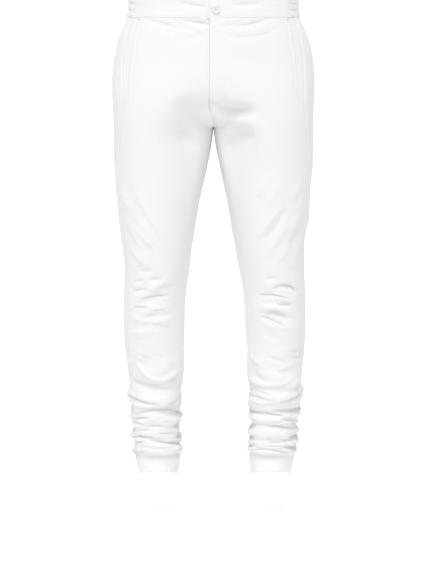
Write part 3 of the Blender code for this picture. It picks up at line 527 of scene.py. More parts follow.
def creaseRelief(leg, turn, z):
    # each crease is -depth (1 - along^2)^t exp(-|across| / w), with w of the side it is on
    # and a rounded bottom, and the cloth swells a little below it; together they are held to
    # the deepest by d tanh(sum / d); the painted shade is the same sum over the upper sides of the
    # narrow ones alone, with the hollows
    total = np.zeros(np.shape(z))
    shade = np.zeros(np.shape(z))
    for crease in allCreases[leg]:
        middle = (crease["turn0"] + crease["turn1"]) / 2
        height = (crease["z0"] + crease["z1"]) / 2
        _, radius, _ = ovalOf(leg, np.array(height * mm))
        run = math.radians(crease["turn1"] - crease["turn0"]) * float(radius) / mm
        rise = crease["z1"] - crease["z0"]
        length = math.hypot(run, rise)
        around = np.radians(turnFrom(turn, middle)) * radius / mm
        up = z / mm - height
        along = (around * run + up * rise) / (length * length / 2)
        taper = np.clip(1 - along**2, 0, 1)
        climb = foldStyle["droop"] * crease["depth"] * taper
        across = ((up + climb) * run - around * rise) / length + crease["sag"] * taper
        side = np.where(across > 0, foldStyle["spreadAbove"] * crease["above"],
                        foldStyle["spreadBelow"] * crease["below"])
        soft = foldStyle["bottom"] * (crease["above"] + crease["below"])
        rounded = np.sqrt(across * across + soft * soft) - soft
        pressed = crease["depth"] * taper**foldStyle["creaseTaper"] * np.exp(-rounded / side)
        swell = (foldStyle["swell"] * max(crease["depth"], 0)
                 * min(foldStyle["swellFull"] / crease["above"], 1))
        under = across + foldStyle["swellAt"] * crease["below"]
        reach = np.where(under > 0, *foldStyle["swellReach"]) * crease["below"]
        total -= pressed - swell * taper * bell(under, reach)
        most, fall = foldStyle["shadeWidths"]
        shade += (pressed * smooth(across, -foldStyle["shadeEdge"], foldStyle["shadeEdge"])
                  * (crease["depth"] > 0) * min(max(most - crease["above"] / fall, 0), 1))
    deepest = foldStyle["deepest"]
    shade = np.clip(shade * mm / foldStyle["shadeDepth"], 0, 1)**foldStyle["shadePower"]
    for hollow in foldsOn(leg, hollows):
        along, across = foldFrame(leg, hollow, turn, z)
        shade += (hollow["shade"] * np.clip(1 - along**2, 0, 1)
                  * bell(across, hollow["width"] * mm))
    return deepest * np.tanh(total * mm / deepest), shade


# slow waves that run askew, so that no stretch of cloth is dead flat: millimetres round the
# leg and down it for each radian
waves = table("around down phase share", [(17, 41, 1, 1), (29, -23, 2.1, 0.8), (11, -61, 0.6, 0.6)])
waveStyle = {"height": 0.175 * mm, "radius": 90, "phase": 1.7}


def undulation(leg, turn, z):
    # the sum of share sin(around / a + down / d + phase)
    around = np.radians(turn) * waveStyle["radius"]
    phase = waveStyle["phase"] * sides[leg]
    total = 0
    for wide, long, start, share in zip(*waves.values()):
        total = total + share * np.sin(around / wide + z / mm / long + start * phase)
    return waveStyle["height"] * total


gathers = {
    "from": 58.0,               # the turns where they start, round to the seat seam
    "full": 74.0,
    "every": 5.2,               # degrees
    "uneven": ((0.7, 13), (0.3, 4.1)),      # shares of a gather, and degrees for each radian
    "least": 0.65,              # each has its own depth and length, from one to the other ...
    "own": 0.35,
    "pace": 2.4,
    "depth": 1.5 * mm,
    "fade": 62 * mm,            # ... and this is how far they run down from the band
    "fadeRate": 1.2,
    "rest": 0.12,               # what is left of them across the seat, ...
    "restEnds": (90 * mm, 230 * mm),        # ... down to here
}


def gatherRelief(leg, turn, z):
    # pleats |sin| of an uneven phase, deepest at the band, each fading at its own pace
    (broad, broadTurn), (slight, slightTurn) = gathers["uneven"]
    phase = (turn / gathers["every"] + broad * np.sin(turn / broadTurn + sides[leg])
             + slight * np.sin(turn / slightTurn))
    own = gathers["least"] + gathers["own"] * np.sin(
        np.floor(phase) * gathers["pace"] + waveStyle["phase"] * sides[leg])
    down = (body["bandBottom"] - z) / (gathers["fade"] * own)
    fade = np.exp(-down**2 * gathers["fadeRate"])
    fade = fade + gathers["rest"] * (1 - smooth(-z, *gathers["restEnds"]))
    where = smooth(turn, gathers["from"], gathers["full"])
    return gathers["depth"] * np.abs(np.sin(math.pi * phase)) * fade * own * where


# in front the cloth stays broad right up to the gap between the legs
crotch = {
    "out": 15 * mm,             # how far it stands forward of the oval
    "inset": 5 * mm,
    "width": 24 * mm,
    "top": -212 * mm,           # it starts here, ...
    "full": -240 * mm,
    "middle": -330 * mm,
    "foot": -540 * mm,          # ... and is gone here
    "from": 40,                 # it gives out from this turn, over so many degrees
    "over": 50,
}


def clothSurface(leg, angle, z):
    # the folded cloth on the leg's +X side: form + normal * relief, the rolls hanging a little
    turn = np.degrees(angle) - 90
    points = formPoints(leg, angle, z)
    normals = formNormals(leg, angle, z)
    clear = smooth(points[..., 0], 0, body["centreClear"])
    under = smooth(-z, -body["bandBottom"], foldStyle["underBand"])
    rolled = rollRelief(leg, turn, z) + creaseRelief(leg, turn, z)[0] * under
    ahead = 1 - smooth(np.abs(turnFrom(turn, 0)), *foldStyle["softTurns"])
    low = smooth(-z, foldStyle["softFrom"], foldStyle["softTo"])
    share = 1 - (1 - foldStyle["softShare"]) * ahead * low
    relief = softRelief(leg, turn, z) * share + rolled + undulation(leg, turn, z) * under
    relief += gatherRelief(leg, turn, z) * under
    points = points + normals * (relief * clear)[..., None]
    points[..., 2] -= foldStyle["droop"] * rolled * clear
    centre, half, _ = ovalOf(leg, z)
    edge = np.where(z > body["crotch"], 0, centre - half)
    fullness = bell(points[..., 0] - edge - crotch["inset"], crotch["width"])
    fullness = fullness * smooth(-z, -crotch["top"], -crotch["full"])
    fullness = fullness * (1 - smooth(-z, -crotch["middle"], -crotch["foot"])) * (turn < 90)
    given = np.clip((turn - crotch["from"]) / crotch["over"], 0, 1)
    points[..., 1] -= crotch["out"] * fullness * (1 - given)
    return points, normals


print("form and folds ready")


# the making of meshes

def addObject(name, data):
    # a new object in the scene that holds this data
    made = bpy.data.objects.new(name, data)
    bpy.context.scene.collection.objects.link(made)
    return made


def meshFrom(name, points, faces, uv=None, wearAndPaintedLight=None, paintedShade=None):
    # puts whole arrays into a mesh: uv is in metres of cloth; the pale share is 1 at edges paled by
    # wear and where light is painted on, and the grey share is 1 where shade is painted, in creases
    # and hollows
    mesh = bpy.data.meshes.new(name)
    mesh.from_pydata(np.asarray(points).reshape(-1, 3).tolist(), [], faces)
    if uv is not None:
        corner = np.zeros(len(mesh.loops), dtype=np.int32)
        mesh.loops.foreach_get("vertex_index", corner)
        layer = mesh.uv_layers.new(name="cloth")
        layer.data.foreach_set("uv", np.asarray(uv).reshape(-1, 2)[corner].ravel())
    for label, values in (("wearAndPaintedLight", wearAndPaintedLight), ("paintedShade", paintedShade)):
        if values is not None:
            layer = mesh.attributes.new(label, "FLOAT", "POINT")
            layer.data.foreach_set("value", np.asarray(values).ravel())
    mesh.shade_smooth()
    return addObject(name, mesh)


def quads(a, b, c, d):
    # faces from the numbers of their four corners
    return np.stack([a, b, c, d], axis=-1).reshape(-1, 4).tolist()


def clothWall(name, face, back, uv, wearAndPaintedLight, mirrored, paintedShade=None):
    # a closed wall between two grids: rows run down, and columns run as the turn grows on the
    # left leg; on the right leg they are mirrored
    rows, columns = face.shape[:2]
    near, far = np.arange(2 * rows * columns).reshape(2, rows, columns)
    faces = (
        quads(near[:-1, :-1], near[1:, :-1], near[1:, 1:], near[:-1, 1:])
        + quads(far[:-1, :-1], far[:-1, 1:], far[1:, 1:], far[1:, :-1])
        + quads(near[0, :-1], near[0, 1:], far[0, 1:], far[0, :-1])
        + quads(near[-1, 1:], near[-1, :-1], far[-1, :-1], far[-1, 1:])
        + quads(near[1:, 0], near[:-1, 0], far[:-1, 0], far[1:, 0])
        + quads(near[:-1, -1], near[1:, -1], far[1:, -1], far[:-1, -1]))
    if mirrored:
        faces = [corners[::-1] for corners in faces]
    points = np.stack([face, back])
    paintedShade = np.zeros(wearAndPaintedLight.shape) if paintedShade is None else paintedShade
    return meshFrom(name, points, faces, *(np.stack([a, a]) for a in (uv, wearAndPaintedLight, paintedShade)))


def runAlong(points, axis):
    # the length up to each point of a grid, along one of its axes
    steps = np.linalg.norm(np.diff(points, axis=axis), axis=-1)
    start = np.zeros_like(np.take(steps, [0], axis=axis))
    return np.concatenate([start, np.cumsum(steps, axis=axis)], axis=axis)


def onSide(points, leg):
    # places or directions worked out for the left leg, mirrored in x for the right one
    return points * (sides[leg], 1, 1)


def finishPiece(piece, material, nodes):
    # its material, its body and the solids that it stands for
    piece.data.materials.append(material)
    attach(piece, "root")
    for node in nodes:
        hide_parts(node)
    sewn.append(piece)


# the finishes

cottonTwill = {
    "colour": (0.82, 0.82, 0.823),
    "shade": (0.80, 0.80, 0.804),     # the thinner, greyer yarns
    "paler": (0.87, 0.87, 0.87),    # edges and seams, paled by wear; also painted light on the inner thighs and the cuff
    "paintedShade": (0.49, 0.49, 0.495),  # painted shade: the grey deep in creases and hollows, where little light reaches
    "ribEvery": 0.9 * mm,            # the twill's diagonal ribs
    "ribTurn": -58,
    "ribShade": 0.35,
    "yarnEvery": 0.45 * mm,
    "yarnShare": 0.35,
    "weaveHeight": 0.06 * mm,
    "creaseHeight": 0.25 * mm,
    "patchScale": 9.0,               # scales of the slow shade, the crumples and the flecks
    "crumpleScale": 70.0,
    "fleckScale": 900.0,
    "roughness": 0.88,
    "roughnessSpread": 0.06,
    "sheen": 0.03,
    "sheenRoughness": 0.45,
    "specular": 0.15,
}


def fill(tree, made, inputs):
    # sets the inputs of a node by name: another node's output is linked, a value is typed in
    for label, value in inputs.items():
        entry = next(i for i in made.inputs if i.name == label and i.enabled)
        if hasattr(value, "links"):
            tree.links.new(value, entry)
        else:
            entry.default_value = value


def node(tree, kind, output, inputs=None, **settings):
    # a new node with its settings and inputs; gives back the named output
    made = tree.nodes.new("ShaderNode" + kind)
    for label, value in settings.items():
        setattr(made, label, value)
    fill(tree, made, inputs or {})
    return next(o for o in made.outputs if o.name == output and o.enabled)


def newMaterial(name):
    # a new material, its node tree and its shader
    material = bpy.data.materials.new(name)
    material.use_nodes = True
    return material, material.node_tree, material.node_tree.nodes["Principled BSDF"]


def opaque(colour, share=1.0):
    # a colour times a share, without transparency
    return (*[share * part for part in colour], 1)


def waveScale(every):
    # the scale at which a wave texture repeats after this length
    return 2 * math.pi / (20 * every)


def clothMaterial(name, style):
    # twill: ribs are a sine across the diagonal of the cloth's own metres, crossed by yarns;
    # over it come slow shade, small soft crumples, edges paled by wear, painted light and painted
    # shade
    material, tree, shader = newMaterial(name)
    cloth = node(tree, "UVMap", "UV", uv_map="cloth")
    place = node(tree, "TexCoord", "Object")
    colour, shade, paler, paintedShade = (
        opaque(style[key]) for key in ("colour", "shade", "paler", "paintedShade"))

    def sine(turned, every):
        # bands across the cloth, turned by an angle and a little uneven
        along = node(tree, "Mapping", "Vector", {
            "Vector": cloth, "Rotation": (0, 0, math.radians(turned))})
        return node(tree, "TexWave", "Fac", {
            "Vector": along, "Scale": waveScale(every), "Distortion": 0.6, "Detail": 1.0,
            "Detail Scale": 3.0}, wave_type="BANDS", bands_direction="X")

    def noise(scale, detail):
        return node(tree, "TexNoise", "Fac", {"Vector": place, "Scale": scale, "Detail": detail})

    def blend(kind, factor, first, second):
        return node(tree, "Mix", "Result", {"Factor": factor, "A": first, "B": second},
                    data_type=kind)

    def between(value, low, high):
        return node(tree, "MapRange", "Result", {"Value": value, "To Min": low, "To Max": high})

    def attribute(label):
        return node(tree, "Attribute", "Fac", attribute_name=label)

    ribs = sine(style["ribTurn"], style["ribEvery"])
    weave = blend("FLOAT", style["yarnShare"], ribs, sine(0, style["yarnEvery"]))
    ground = blend("RGBA", noise(style["patchScale"], 3.0), shade, colour)
    ribbed = blend("RGBA", between(weave, 0.0, style["ribShade"]), ground, colour)
    # paler at edges worn pale, and painted light on the inner thighs and the cuffs
    faded = blend("RGBA", attribute("wearAndPaintedLight"), ribbed, paler)
    soft = node(tree, "Bump", "Normal", {
        "Strength": 1.0, "Distance": style["creaseHeight"],
        "Height": noise(style["crumpleScale"], 4.0)})
    fine = node(tree, "Bump", "Normal", {
        "Strength": 1.0, "Distance": style["weaveHeight"], "Height": weave, "Normal": soft})
    rough, spread = style["roughness"], style["roughnessSpread"]
    # the base colour greys towards the painted shade in creases and hollows
    fill(tree, shader, {
        "Base Color": blend("RGBA", attribute("paintedShade"), faded, paintedShade),
        "Roughness": between(noise(style["fleckScale"], 2.0), rough - spread, rough + spread),
        "Metallic": 0.0, "Specular IOR Level": style["specular"],
        "Sheen Weight": style["sheen"], "Sheen Roughness": style["sheenRoughness"],
        "Normal": fine})
    return material


threadStyle = {
    "colour": (0.84, 0.84, 0.845),
    "dark": 0.94,
    "twistEvery": 0.35 * mm,
    "twistHeight": 0.05 * mm,
    "roughness": 0.6,
}


def threadMaterial():
    # polyester sewing thread: a twist across it, from object coordinates
    material, tree, shader = newMaterial("sewing_thread")
    wave = node(tree, "TexWave", "Fac", {
        "Vector": node(tree, "TexCoord", "Object"),
        "Scale": waveScale(threadStyle["twistEvery"])}, bands_direction="DIAGONAL")
    colour = threadStyle["colour"]
    fill(tree, shader, {
        "Base Color": node(tree, "Mix", "Result", {
            "Factor": wave, "A": opaque(colour, threadStyle["dark"]), "B": opaque(colour)},
            data_type="RGBA"),
        "Normal": node(tree, "Bump", "Normal", {
            "Height": wave, "Distance": threadStyle["twistHeight"]}),
        "Roughness": threadStyle["roughness"]})
    return material


# the band's twill is a lighter copy of the legs': painted light
bandStyle = dict(cottonTwill, colour=(0.838, 0.838, 0.842), creaseHeight=0.18 * mm)
elasticStyle = dict(cottonTwill, shade=(0.79, 0.79, 0.795), creaseHeight=0.35 * mm)
facingStyle = dict(cottonTwill, colour=(0.81, 0.81, 0.813))
legCloth = clothMaterial("white_cotton_twill", cottonTwill)
bandCloth = clothMaterial("waistband_twill", bandStyle)
elasticCloth = clothMaterial("gathered_twill", elasticStyle)
facingCloth = clothMaterial("pocket_facing_twill", facingStyle)
thread = threadMaterial()
print("finishes ready")


# the legs

seamLines = table("z mouth side", [
    (-960, 44, 78),
    (-420, 44, 76),
    (-300, 44, 63),
    (-233, 44, 55),
    (-192, 44, 53),
    (-172, 44.5, 54.5),
    (-132, 49, 58.5),
    (-102, 51.5, 62),
    (-58, 54, 64.5),
    (-20, 57.5, 69),
    (20, 58, 70),
])
mouthTurn = spline(seamLines["z"] * mm, seamLines["mouth"])
sideTurn = spline(seamLines["z"] * mm, seamLines["side"])

panel = {
    "top": -18.5 * mm,          # tucked under the waistband
    "frontColumns": 97,
    "backColumns": 81,
    "pocketFoot": -172 * mm,    # the mouth curves out to the side seam below this
    "pocketEnd": -192 * mm,
    "foldFoot": -166 * mm,      # its fold gives out from here
    "foldHeight": 0.5 * mm,
    "foldWidth": 5 * mm,
    "stitchGroove": 0.4 * mm,
    "stitchWidth": 1.2 * mm,
    "flyFoot": (172 * mm, 180 * mm),        # above this the centre seam lies under the fly
    "seamDip": 1.3 * mm,        # both panels turn in at a seam, ...
    "seamLoose": 0.5,           # ... by so much less where the legs' cloth hangs loose
    "looseFrom": (185 * mm, 240 * mm),
    "seamWidth": 1.5 * mm,
    "allowance": 0.35 * mm,     # the folded cloth under the seam
    "allowanceAt": 6 * mm,
    "allowanceWidth": 4 * mm,
    "pucker": 0.16 * mm,
    "puckerEvery": 8.5 * mm,
    "puckerDrift": 31 * mm,
    "puckerReach": 7 * mm,
    "hemHeight": 12 * mm,
    "hemProud": 0.3 * mm,
    "hemFades": (0.8, 1.2),     # shares of the hem's height between which it gives out, ...
    "hemExtra": 0.7 * mm,
    "hemThins": (0.9, 1.1),     # ... and its second layer ends
    "hemGroove": 0.35 * mm,
    "grooveWidth": 1.3 * mm,
    "edgeRound": 0.9 * mm,
    "edgeReach": 2.0 * mm,
    "mouthRound": 0.6 * mm,
    "mouthReach": 1.2 * mm,
    "cuffTop": 902 * mm,
    "cuffLightFull": 914 * mm,       # below this it takes full painted light
    "cuffSwell": 3.0 * mm,      # it stands out in front towards the hem
    "cuffFull": 936 * mm,
    "cuffTurn": 55,
    "rubbedHem": 0.8,           # shares of the pale colour: wear at the edges, painted light on the cuff
    "rubbedSeam": 0.35,
    "cuffPaintedLight": 0.9,
    "rubbedEdge": 3 * mm,
    "paintedLightTurn": 38.0,         # how far round from the inseam the legs take painted light, ...
    "paintedLightTop": (215 * mm, 240 * mm),      # ... and between which heights
    "paintedLightFoot": (680 * mm, 760 * mm),
    "shadeTop": (22 * mm, 30 * mm),
    "frontFlat": (0.34, 1.14),  # the fronts and backs as cut: width, length and area
    "frontArea": 0.24,
    "backFlat": (0.40, 1.16),
    "backArea": 0.32,
}

# heights of the rows: the step between them, in millimetres, changes with the height
rowSteps = table(
    "z step", [
        (-18.5, 1.5), (-60, 1.6), (-75, 3.2), (-185, 3.0), (-222, 1.5), (-231, 0.7),
        (-236, 0.7), (-246, 2.0), (-262, 3.6), (-495, 3.6), (-512, 1.45), (-626, 1.45),
        (-640, 2.7), (-735, 2.6), (-752, 1.3), (-904, 1.2), (-914, 2.0), (-930, 1.2),
        (-937, 0.5)])
fineStep = 0.25


def rowHeights(top):
    # rows so spaced that their number grows by 1 / step for each millimetre down
    fine = np.arange(top / mm, body["hem"] / mm - 0.01, -fineStep)
    step = np.interp(-fine, -rowSteps["z"], rowSteps["step"])
    count = np.concatenate([[0], np.cumsum(fineStep / step[:-1])])
    rows = np.interp(np.linspace(0, count[-1], int(count[-1]) + 1), count, fine)
    rows[-1] = body["hem"] / mm
    return rows * mm


def frontEdgeTurn(z):
    # the pocket's mouth, which curves out to the side seam at its foot
    past = smooth(-z, -panel["pocketFoot"], -panel["pocketEnd"])
    return mouthTurn(z) * (1 - past) + sideTurn(z) * past


centreSeam = {
    "shift": 8.0 * mm,          # the left front laps so far past the centre below the fly, ...
    "hidden": 1.0 * mm,         # ... and so far under the fly's strip
    "begins": (18.5 * mm, 30 * mm),         # depths between which it starts, ...
    "shifts": (169 * mm, 177 * mm),         # ... comes out from under the strip, ...
    "closes": (181 * mm, 228 * mm),         # ... and closes in to the crotch
}


def centreSeamAt(z):
    # the lap is hidden under the strip, shifts out at its foot and closes in below it
    closing = 1 - smooth(-z, *centreSeam["closes"])
    covered = 1 - smooth(-z, *centreSeam["shifts"])
    return centreSeam["shift"] * closing * (1 - covered) + centreSeam["hidden"] * covered


def seamDip(z):
    # depth of a seam at a height: less down the legs, where the cloth hangs loose
    return panel["seamDip"] * (1 - panel["seamLoose"] * smooth(-z, *panel["looseFrom"]))


def legPanel(name, leg, start, end, columns, z, isFront):
    # columns share each row's angle evenly; face = surface + normal * relief, back = face
    # - normal * wall, and both turn towards each other at the rounded edges
    angle = start[:, None] + (end - start)[:, None] * np.linspace(0, 1, columns)
    rows = np.broadcast_to(z[:, None], angle.shape)
    points, normals = clothSurface(leg, angle, rows)
    smoothForm = formPoints(leg, angle, rows)
    across = runAlong(smoothForm, 1)
    width = across[:, -1:]
    down = runAlong(smoothForm, 0)
    middle = across.shape[1] // 2
    uv = np.stack([across - across[:, middle:middle + 1],
                   np.broadcast_to(-down[:, middle:middle + 1], across.shape)], axis=-1)

    # seams: each edge dips, with its allowance and puckers beside it
    relief = np.zeros(across.shape)
    toSide = width - across
    ripple = np.sin(2 * math.pi * rows / panel["puckerEvery"]
                    + 2 * np.sin(rows / panel["puckerDrift"]))
    isMouth = isFront * (1 - smooth(-rows, -panel["foldFoot"], -panel["pocketEnd"]))
    underFly = isFront * (1 - smooth(-rows, *panel["flyFoot"]))
    for distance, sewnShare in ((across, 1 - underFly), (toSide, 1 - isMouth)):
        seam = (-seamDip(rows) * bell(distance, panel["seamWidth"])
                + panel["allowance"] * bell(distance - panel["allowanceAt"],
                                            panel["allowanceWidth"])
                + panel["pucker"] * ripple * np.exp(-distance / panel["puckerReach"]))
        relief += seam * sewnShare
    if isFront:
        # the mouth is a folded edge with one row of topstitching
        groove = bell(toSide - pocket["stitchInset"], panel["stitchWidth"])
        relief += isMouth * (panel["foldHeight"] * bell(toSide, panel["foldWidth"])
                             - panel["stitchGroove"] * groove)
    # the hem: a fold that is a little proud, with a stitched groove above it
    toHem = rows - body["hem"]
    hem = panel["hemHeight"]
    relief += panel["hemProud"] * (1 - smooth(toHem, *np.multiply(panel["hemFades"], hem)))
    relief -= panel["hemGroove"] * bell(toHem - hem, panel["grooveWidth"])
    turn = np.degrees(angle) - 90
    relief += (panel["cuffSwell"] * smooth(-rows, panel["cuffTop"], panel["cuffFull"])
               * bell(turnFrom(turn, 0), panel["cuffTurn"]))
    rounding = panel["edgeRound"] * (1 - smooth(toHem, 0, panel["edgeReach"]))
    rounding = rounding + isMouth * panel["mouthRound"] * (
        1 - smooth(toSide, 0, panel["mouthReach"]))
    double = 1 - smooth(toHem, *np.multiply(panel["hemThins"], hem))
    wall = body["wall"] + panel["hemExtra"] * double
    face = points + normals * (relief - 0.5 * rounding)[..., None]
    back = points + normals * (relief - wall + 0.5 * rounding)[..., None]

    # paler at the edges and seams from wear; paler on the cuff and on the inner thighs, where the
    # legs meet, as painted light
    inside = smooth(-rows, *panel["paintedLightTop"]) * (1 - smooth(-rows, *panel["paintedLightFoot"]))
    inside = inside * bell(turnFrom(turn, -90), panel["paintedLightTurn"])
    cuffLight = smooth(-rows, panel["cuffTop"], panel["cuffLightFull"])
    wearAndPaintedLight = (panel["rubbedHem"] * bell(toHem, panel["rubbedEdge"])
            + isMouth * bell(toSide, panel["rubbedEdge"])
            + panel["rubbedSeam"] * bell(across, 2 * mm) + panel["cuffPaintedLight"] * cuffLight + inside)
    # painted shade: the grey of the creases and hollows, from a little below the band
    paintedShade = creaseRelief(leg, turn, rows)[1] * smooth(-rows, *panel["shadeTop"])
    piece = clothWall(
        name, onSide(face, leg), onSide(back, leg), uv, np.clip(wearAndPaintedLight, 0, 1), leg == "right",
        paintedShade)
    return piece, {"leg": leg, "face": face, "across": across, "z": z, "normals": normals}


pocket = {
    "stitchInset": 6 * mm,
    "tuck": 14 * mm,            # width of the facing that lies under the front
    "depth": 1.55 * mm,         # how far its face lies below the front's at the mouth, ...
    "shallow": 0.35,            # ... and the share of that beside the waistband, ...
    "shallowTo": (20 * mm, 40 * mm),        # ... down to here
    "rows": ((-18.5 * mm, -170 * mm, 50), (-172 * mm, -204 * mm, 16)),
    "rises": (0.1, 0.9),        # shares of the width between which it comes up to the seam
    "least": 0.5 * mm,
    "wall": 1.0 * mm,
    "columns": 25,
    "flat": (0.045, 0.18),
}

panels = {}
for legName in sides:
    z = rowHeights(panel["top"])
    lap = centreSeamAt(z) * sides[legName]     # the left front laps past the centre plane
    lapTop = smooth(-z, *centreSeam["begins"])
    inner = angleAt(legName, np.where(z > body["crotch"], -lap * lapTop, 0), z)
    inner = np.where(z > body["crotch"], inner, 0.0)
    outer = np.radians(frontEdgeTurn(z) + 90)
    name = f"{legName}_front"
    piece, grid = legPanel(name, legName, inner, outer, panel["frontColumns"], z, True)
    panels[name] = grid
    finishPiece(piece, legCloth, [f"front_{legName}"])

    side = np.radians(sideTurn(z) + 90)
    seat = 2 * math.pi - np.where(z > body["crotch"], angleAt(legName, 0 * z, z), 0.0)
    name = f"{legName}_back"
    piece, grid = legPanel(name, legName, side, seat, panel["backColumns"], z, False)
    panels[name] = grid
    finishPiece(piece, legCloth, [f"back_{legName}"])
    print("leg panels:", legName, len(z), "rows")


def onPanel(name, across, z, lift=0.0):
    # points and normals of a finished panel at distances from its first edge, by linear
    # interpolation between its rows and columns
    grid = panels[name]
    across, z = np.broadcast_arrays(np.asarray(across, float), np.asarray(z, float))
    row = np.interp(-z.ravel(), -grid["z"], np.arange(len(grid["z"])))
    low = np.clip(row.astype(int), 0, len(grid["z"]) - 2)
    share = (row - low)[:, None]

    def alongRow(k):
        # place and normal at the distance across, on the k-th rows
        runs = grid["across"][k]
        column = np.clip((runs < across.ravel()[:, None]).sum(1) - 1, 0, runs.shape[1] - 2)
        at = np.arange(len(k))
        gap = runs[at, column + 1] - runs[at, column]
        part = np.clip((across.ravel() - runs[at, column]) / gap, 0, 1)[:, None]
        place, facing = (
            field[k, column] * (1 - part) + field[k, column + 1] * part
            for field in (grid["face"], grid["normals"]))
        return place, facing

    (high, highNormal), (under, underNormal) = alongRow(low), alongRow(low + 1)
    points = high * (1 - share) + under * share
    normals = highNormal * (1 - share) + underNormal * share
    normals /= np.linalg.norm(normals, axis=1, keepdims=True)
    points = onSide(points + normals * lift, grid["leg"])
    normals = onSide(normals, grid["leg"])
    return points.reshape(*across.shape, 3), normals.reshape(*across.shape, 3)


def panelWidth(name, z):
    # a panel's width over its surface at a height
    grid = panels[name]
    return np.interp(-np.asarray(z, float), -grid["z"], grid["across"][:, -1])


# the pocket facings: sunk below the fronts at the mouth, level with the backs at the seam
for legName in sides:
    z = np.concatenate([np.linspace(*run) for run in pocket["rows"]])
    hip = profile["outer" + legName.title()](z)
    mouth = np.radians(mouthTurn(z) + 90)
    side = np.radians(sideTurn(z) + 90)
    start = mouth - pocket["tuck"] / hip
    angle = start[:, None] + (side - start)[:, None] * np.linspace(0, 1, pocket["columns"])
    rows = np.broadcast_to(z[:, None], angle.shape)
    # from the front's edge, at each height, it rises to the side seam
    edge = np.radians(frontEdgeTurn(z) + 90)[:, None]
    width = np.maximum(side[:, None] - edge, pocket["least"] / hip[:, None])
    level = smooth((angle - edge) / width, *pocket["rises"])
    full = smooth(-rows, *pocket["shallowTo"])
    sunk = pocket["depth"] * (1 - level) * (pocket["shallow"] + (1 - pocket["shallow"]) * full)
    points, normals = clothSurface(legName, angle, rows)
    across = runAlong(points, 1)
    dip = seamDip(rows) * bell(across[:, -1:] - across, panel["seamWidth"]) * level
    face = points - normals * (sunk + dip)[..., None]
    back = face - normals * pocket["wall"]
    uv = np.stack([across, np.broadcast_to(z[:, None], across.shape)], axis=-1)
    piece = clothWall(f"{legName}_pocket_facing", onSide(face, legName), onSide(back, legName),
                      uv, 0 * across, legName == "right")
    finishPiece(piece, facingCloth, [f"pocket_facing_{legName}"])
print("pocket facings ready")


# sewing

sewing = {
    "length": 2.5 * mm,
    "gap": 0.6 * mm,
    "radius": 0.24 * mm,
    "proud": 0.12 * mm,
    "tack": (9 * mm, 2 * mm),           # a bar tack's length and width
    "tackProud": 0.35 * mm,
    "sidesRound": 5,
    "slim": (0.45, 1.0, 1.0, 0.45),     # widths along a stitch, as shares of its radius
}


def stitchMesh(starts, ends, normals, radius, arch):
    # each stitch is a thin tube on the straight line from start to end, raised by
    # arch * sin(pi t), with t = 0, 1/3, 2/3 and 1 and narrow ends
    starts, ends, normals = (np.asarray(a).reshape(-1, 3) for a in (starts, ends, normals))
    slim = np.array(sewing["slim"]) * radius
    t = np.linspace(0, 1, len(slim))
    along = ends - starts
    along = along / np.linalg.norm(along, axis=1, keepdims=True)
    across = np.cross(normals, along)
    across /= np.linalg.norm(across, axis=1, keepdims=True)
    facing = np.cross(along, across)
    turn = np.linspace(0, 2 * math.pi, sewing["sidesRound"], endpoint=False)
    centres = (starts[:, None] + (ends - starts)[:, None] * t[:, None]
               + facing[:, None] * (arch * np.sin(math.pi * t))[:, None])
    rings = (centres[:, :, None]
             + across[:, None, None] * (slim[:, None] * np.cos(turn))[..., None]
             + facing[:, None, None] * (slim[:, None] * np.sin(turn))[..., None])
    number = np.arange(rings.size // 3).reshape(rings.shape[:3])
    after = np.roll(number, -1, axis=2)
    faces = quads(number[:, :-1], after[:, :-1], after[:, 1:], number[:, 1:])
    faces += number[:, 0, ::-1].tolist() + number[:, -1].tolist()
    return rings, faces


def alongPath(points, normals, pitch):
    # the path and its normals at even steps of its length
    run = np.concatenate([[0], np.cumsum(np.linalg.norm(np.diff(points, axis=0), axis=1))])
    at = np.arange(0.5 * pitch, run[-1] - 0.3 * pitch, pitch)

    def sample(field, where):
        # linear in the length, one coordinate at a time
        return np.stack([np.interp(where, run, field[:, k]) for k in range(3)], axis=1)

    return at, lambda where: (sample(points, where), sample(normals, where))


class Seams:
    # gathers the stitches of one piece of sewing, and joins them into a mesh
    def __init__(self, name):
        self.name, self.rings, self.faces, self.total = name, [], [], 0

    def add(self, starts, ends, normals, radius=sewing["radius"], arch=sewing["proud"]):
        # one stitch from each start to its end
        rings, faces = stitchMesh(starts, ends, normals, radius, arch)
        self.faces += [[k + self.total for k in face] for face in faces]
        self.rings.append(rings.reshape(-1, 3))
        self.total += len(self.rings[-1])

    def row(self, points, normals):
        # a row of equal stitches along a path
        pitch = sewing["length"] + sewing["gap"]
        at, sample = alongPath(points, normals, pitch)
        half = sewing["length"] / 2
        starts, facing = sample(at - half)
        ends, _ = sample(at + half)
        self.add(starts, ends, facing)

    def tack(self, middle, along, normal, count):
        # satin stitches side by side: a bar, its threads across it
        length, width = sewing["tack"]
        along = np.asarray(along) / np.linalg.norm(along)
        across = np.cross(normal, along)
        places = middle + along * np.linspace(-length / 2, length / 2, count)[:, None]
        facing = np.broadcast_to(normal, places.shape)
        self.add(places - across * width / 2, places + across * width / 2, facing,
                 arch=sewing["tackProud"])

    def finish(self):
        # joins the stitches and adds them to the pieces
        piece = meshFrom(self.name, np.concatenate(self.rings), self.faces)
        finishPiece(piece, thread, [])


# the fly: a folded strip over the fronts, free at its edge on the wearer's right

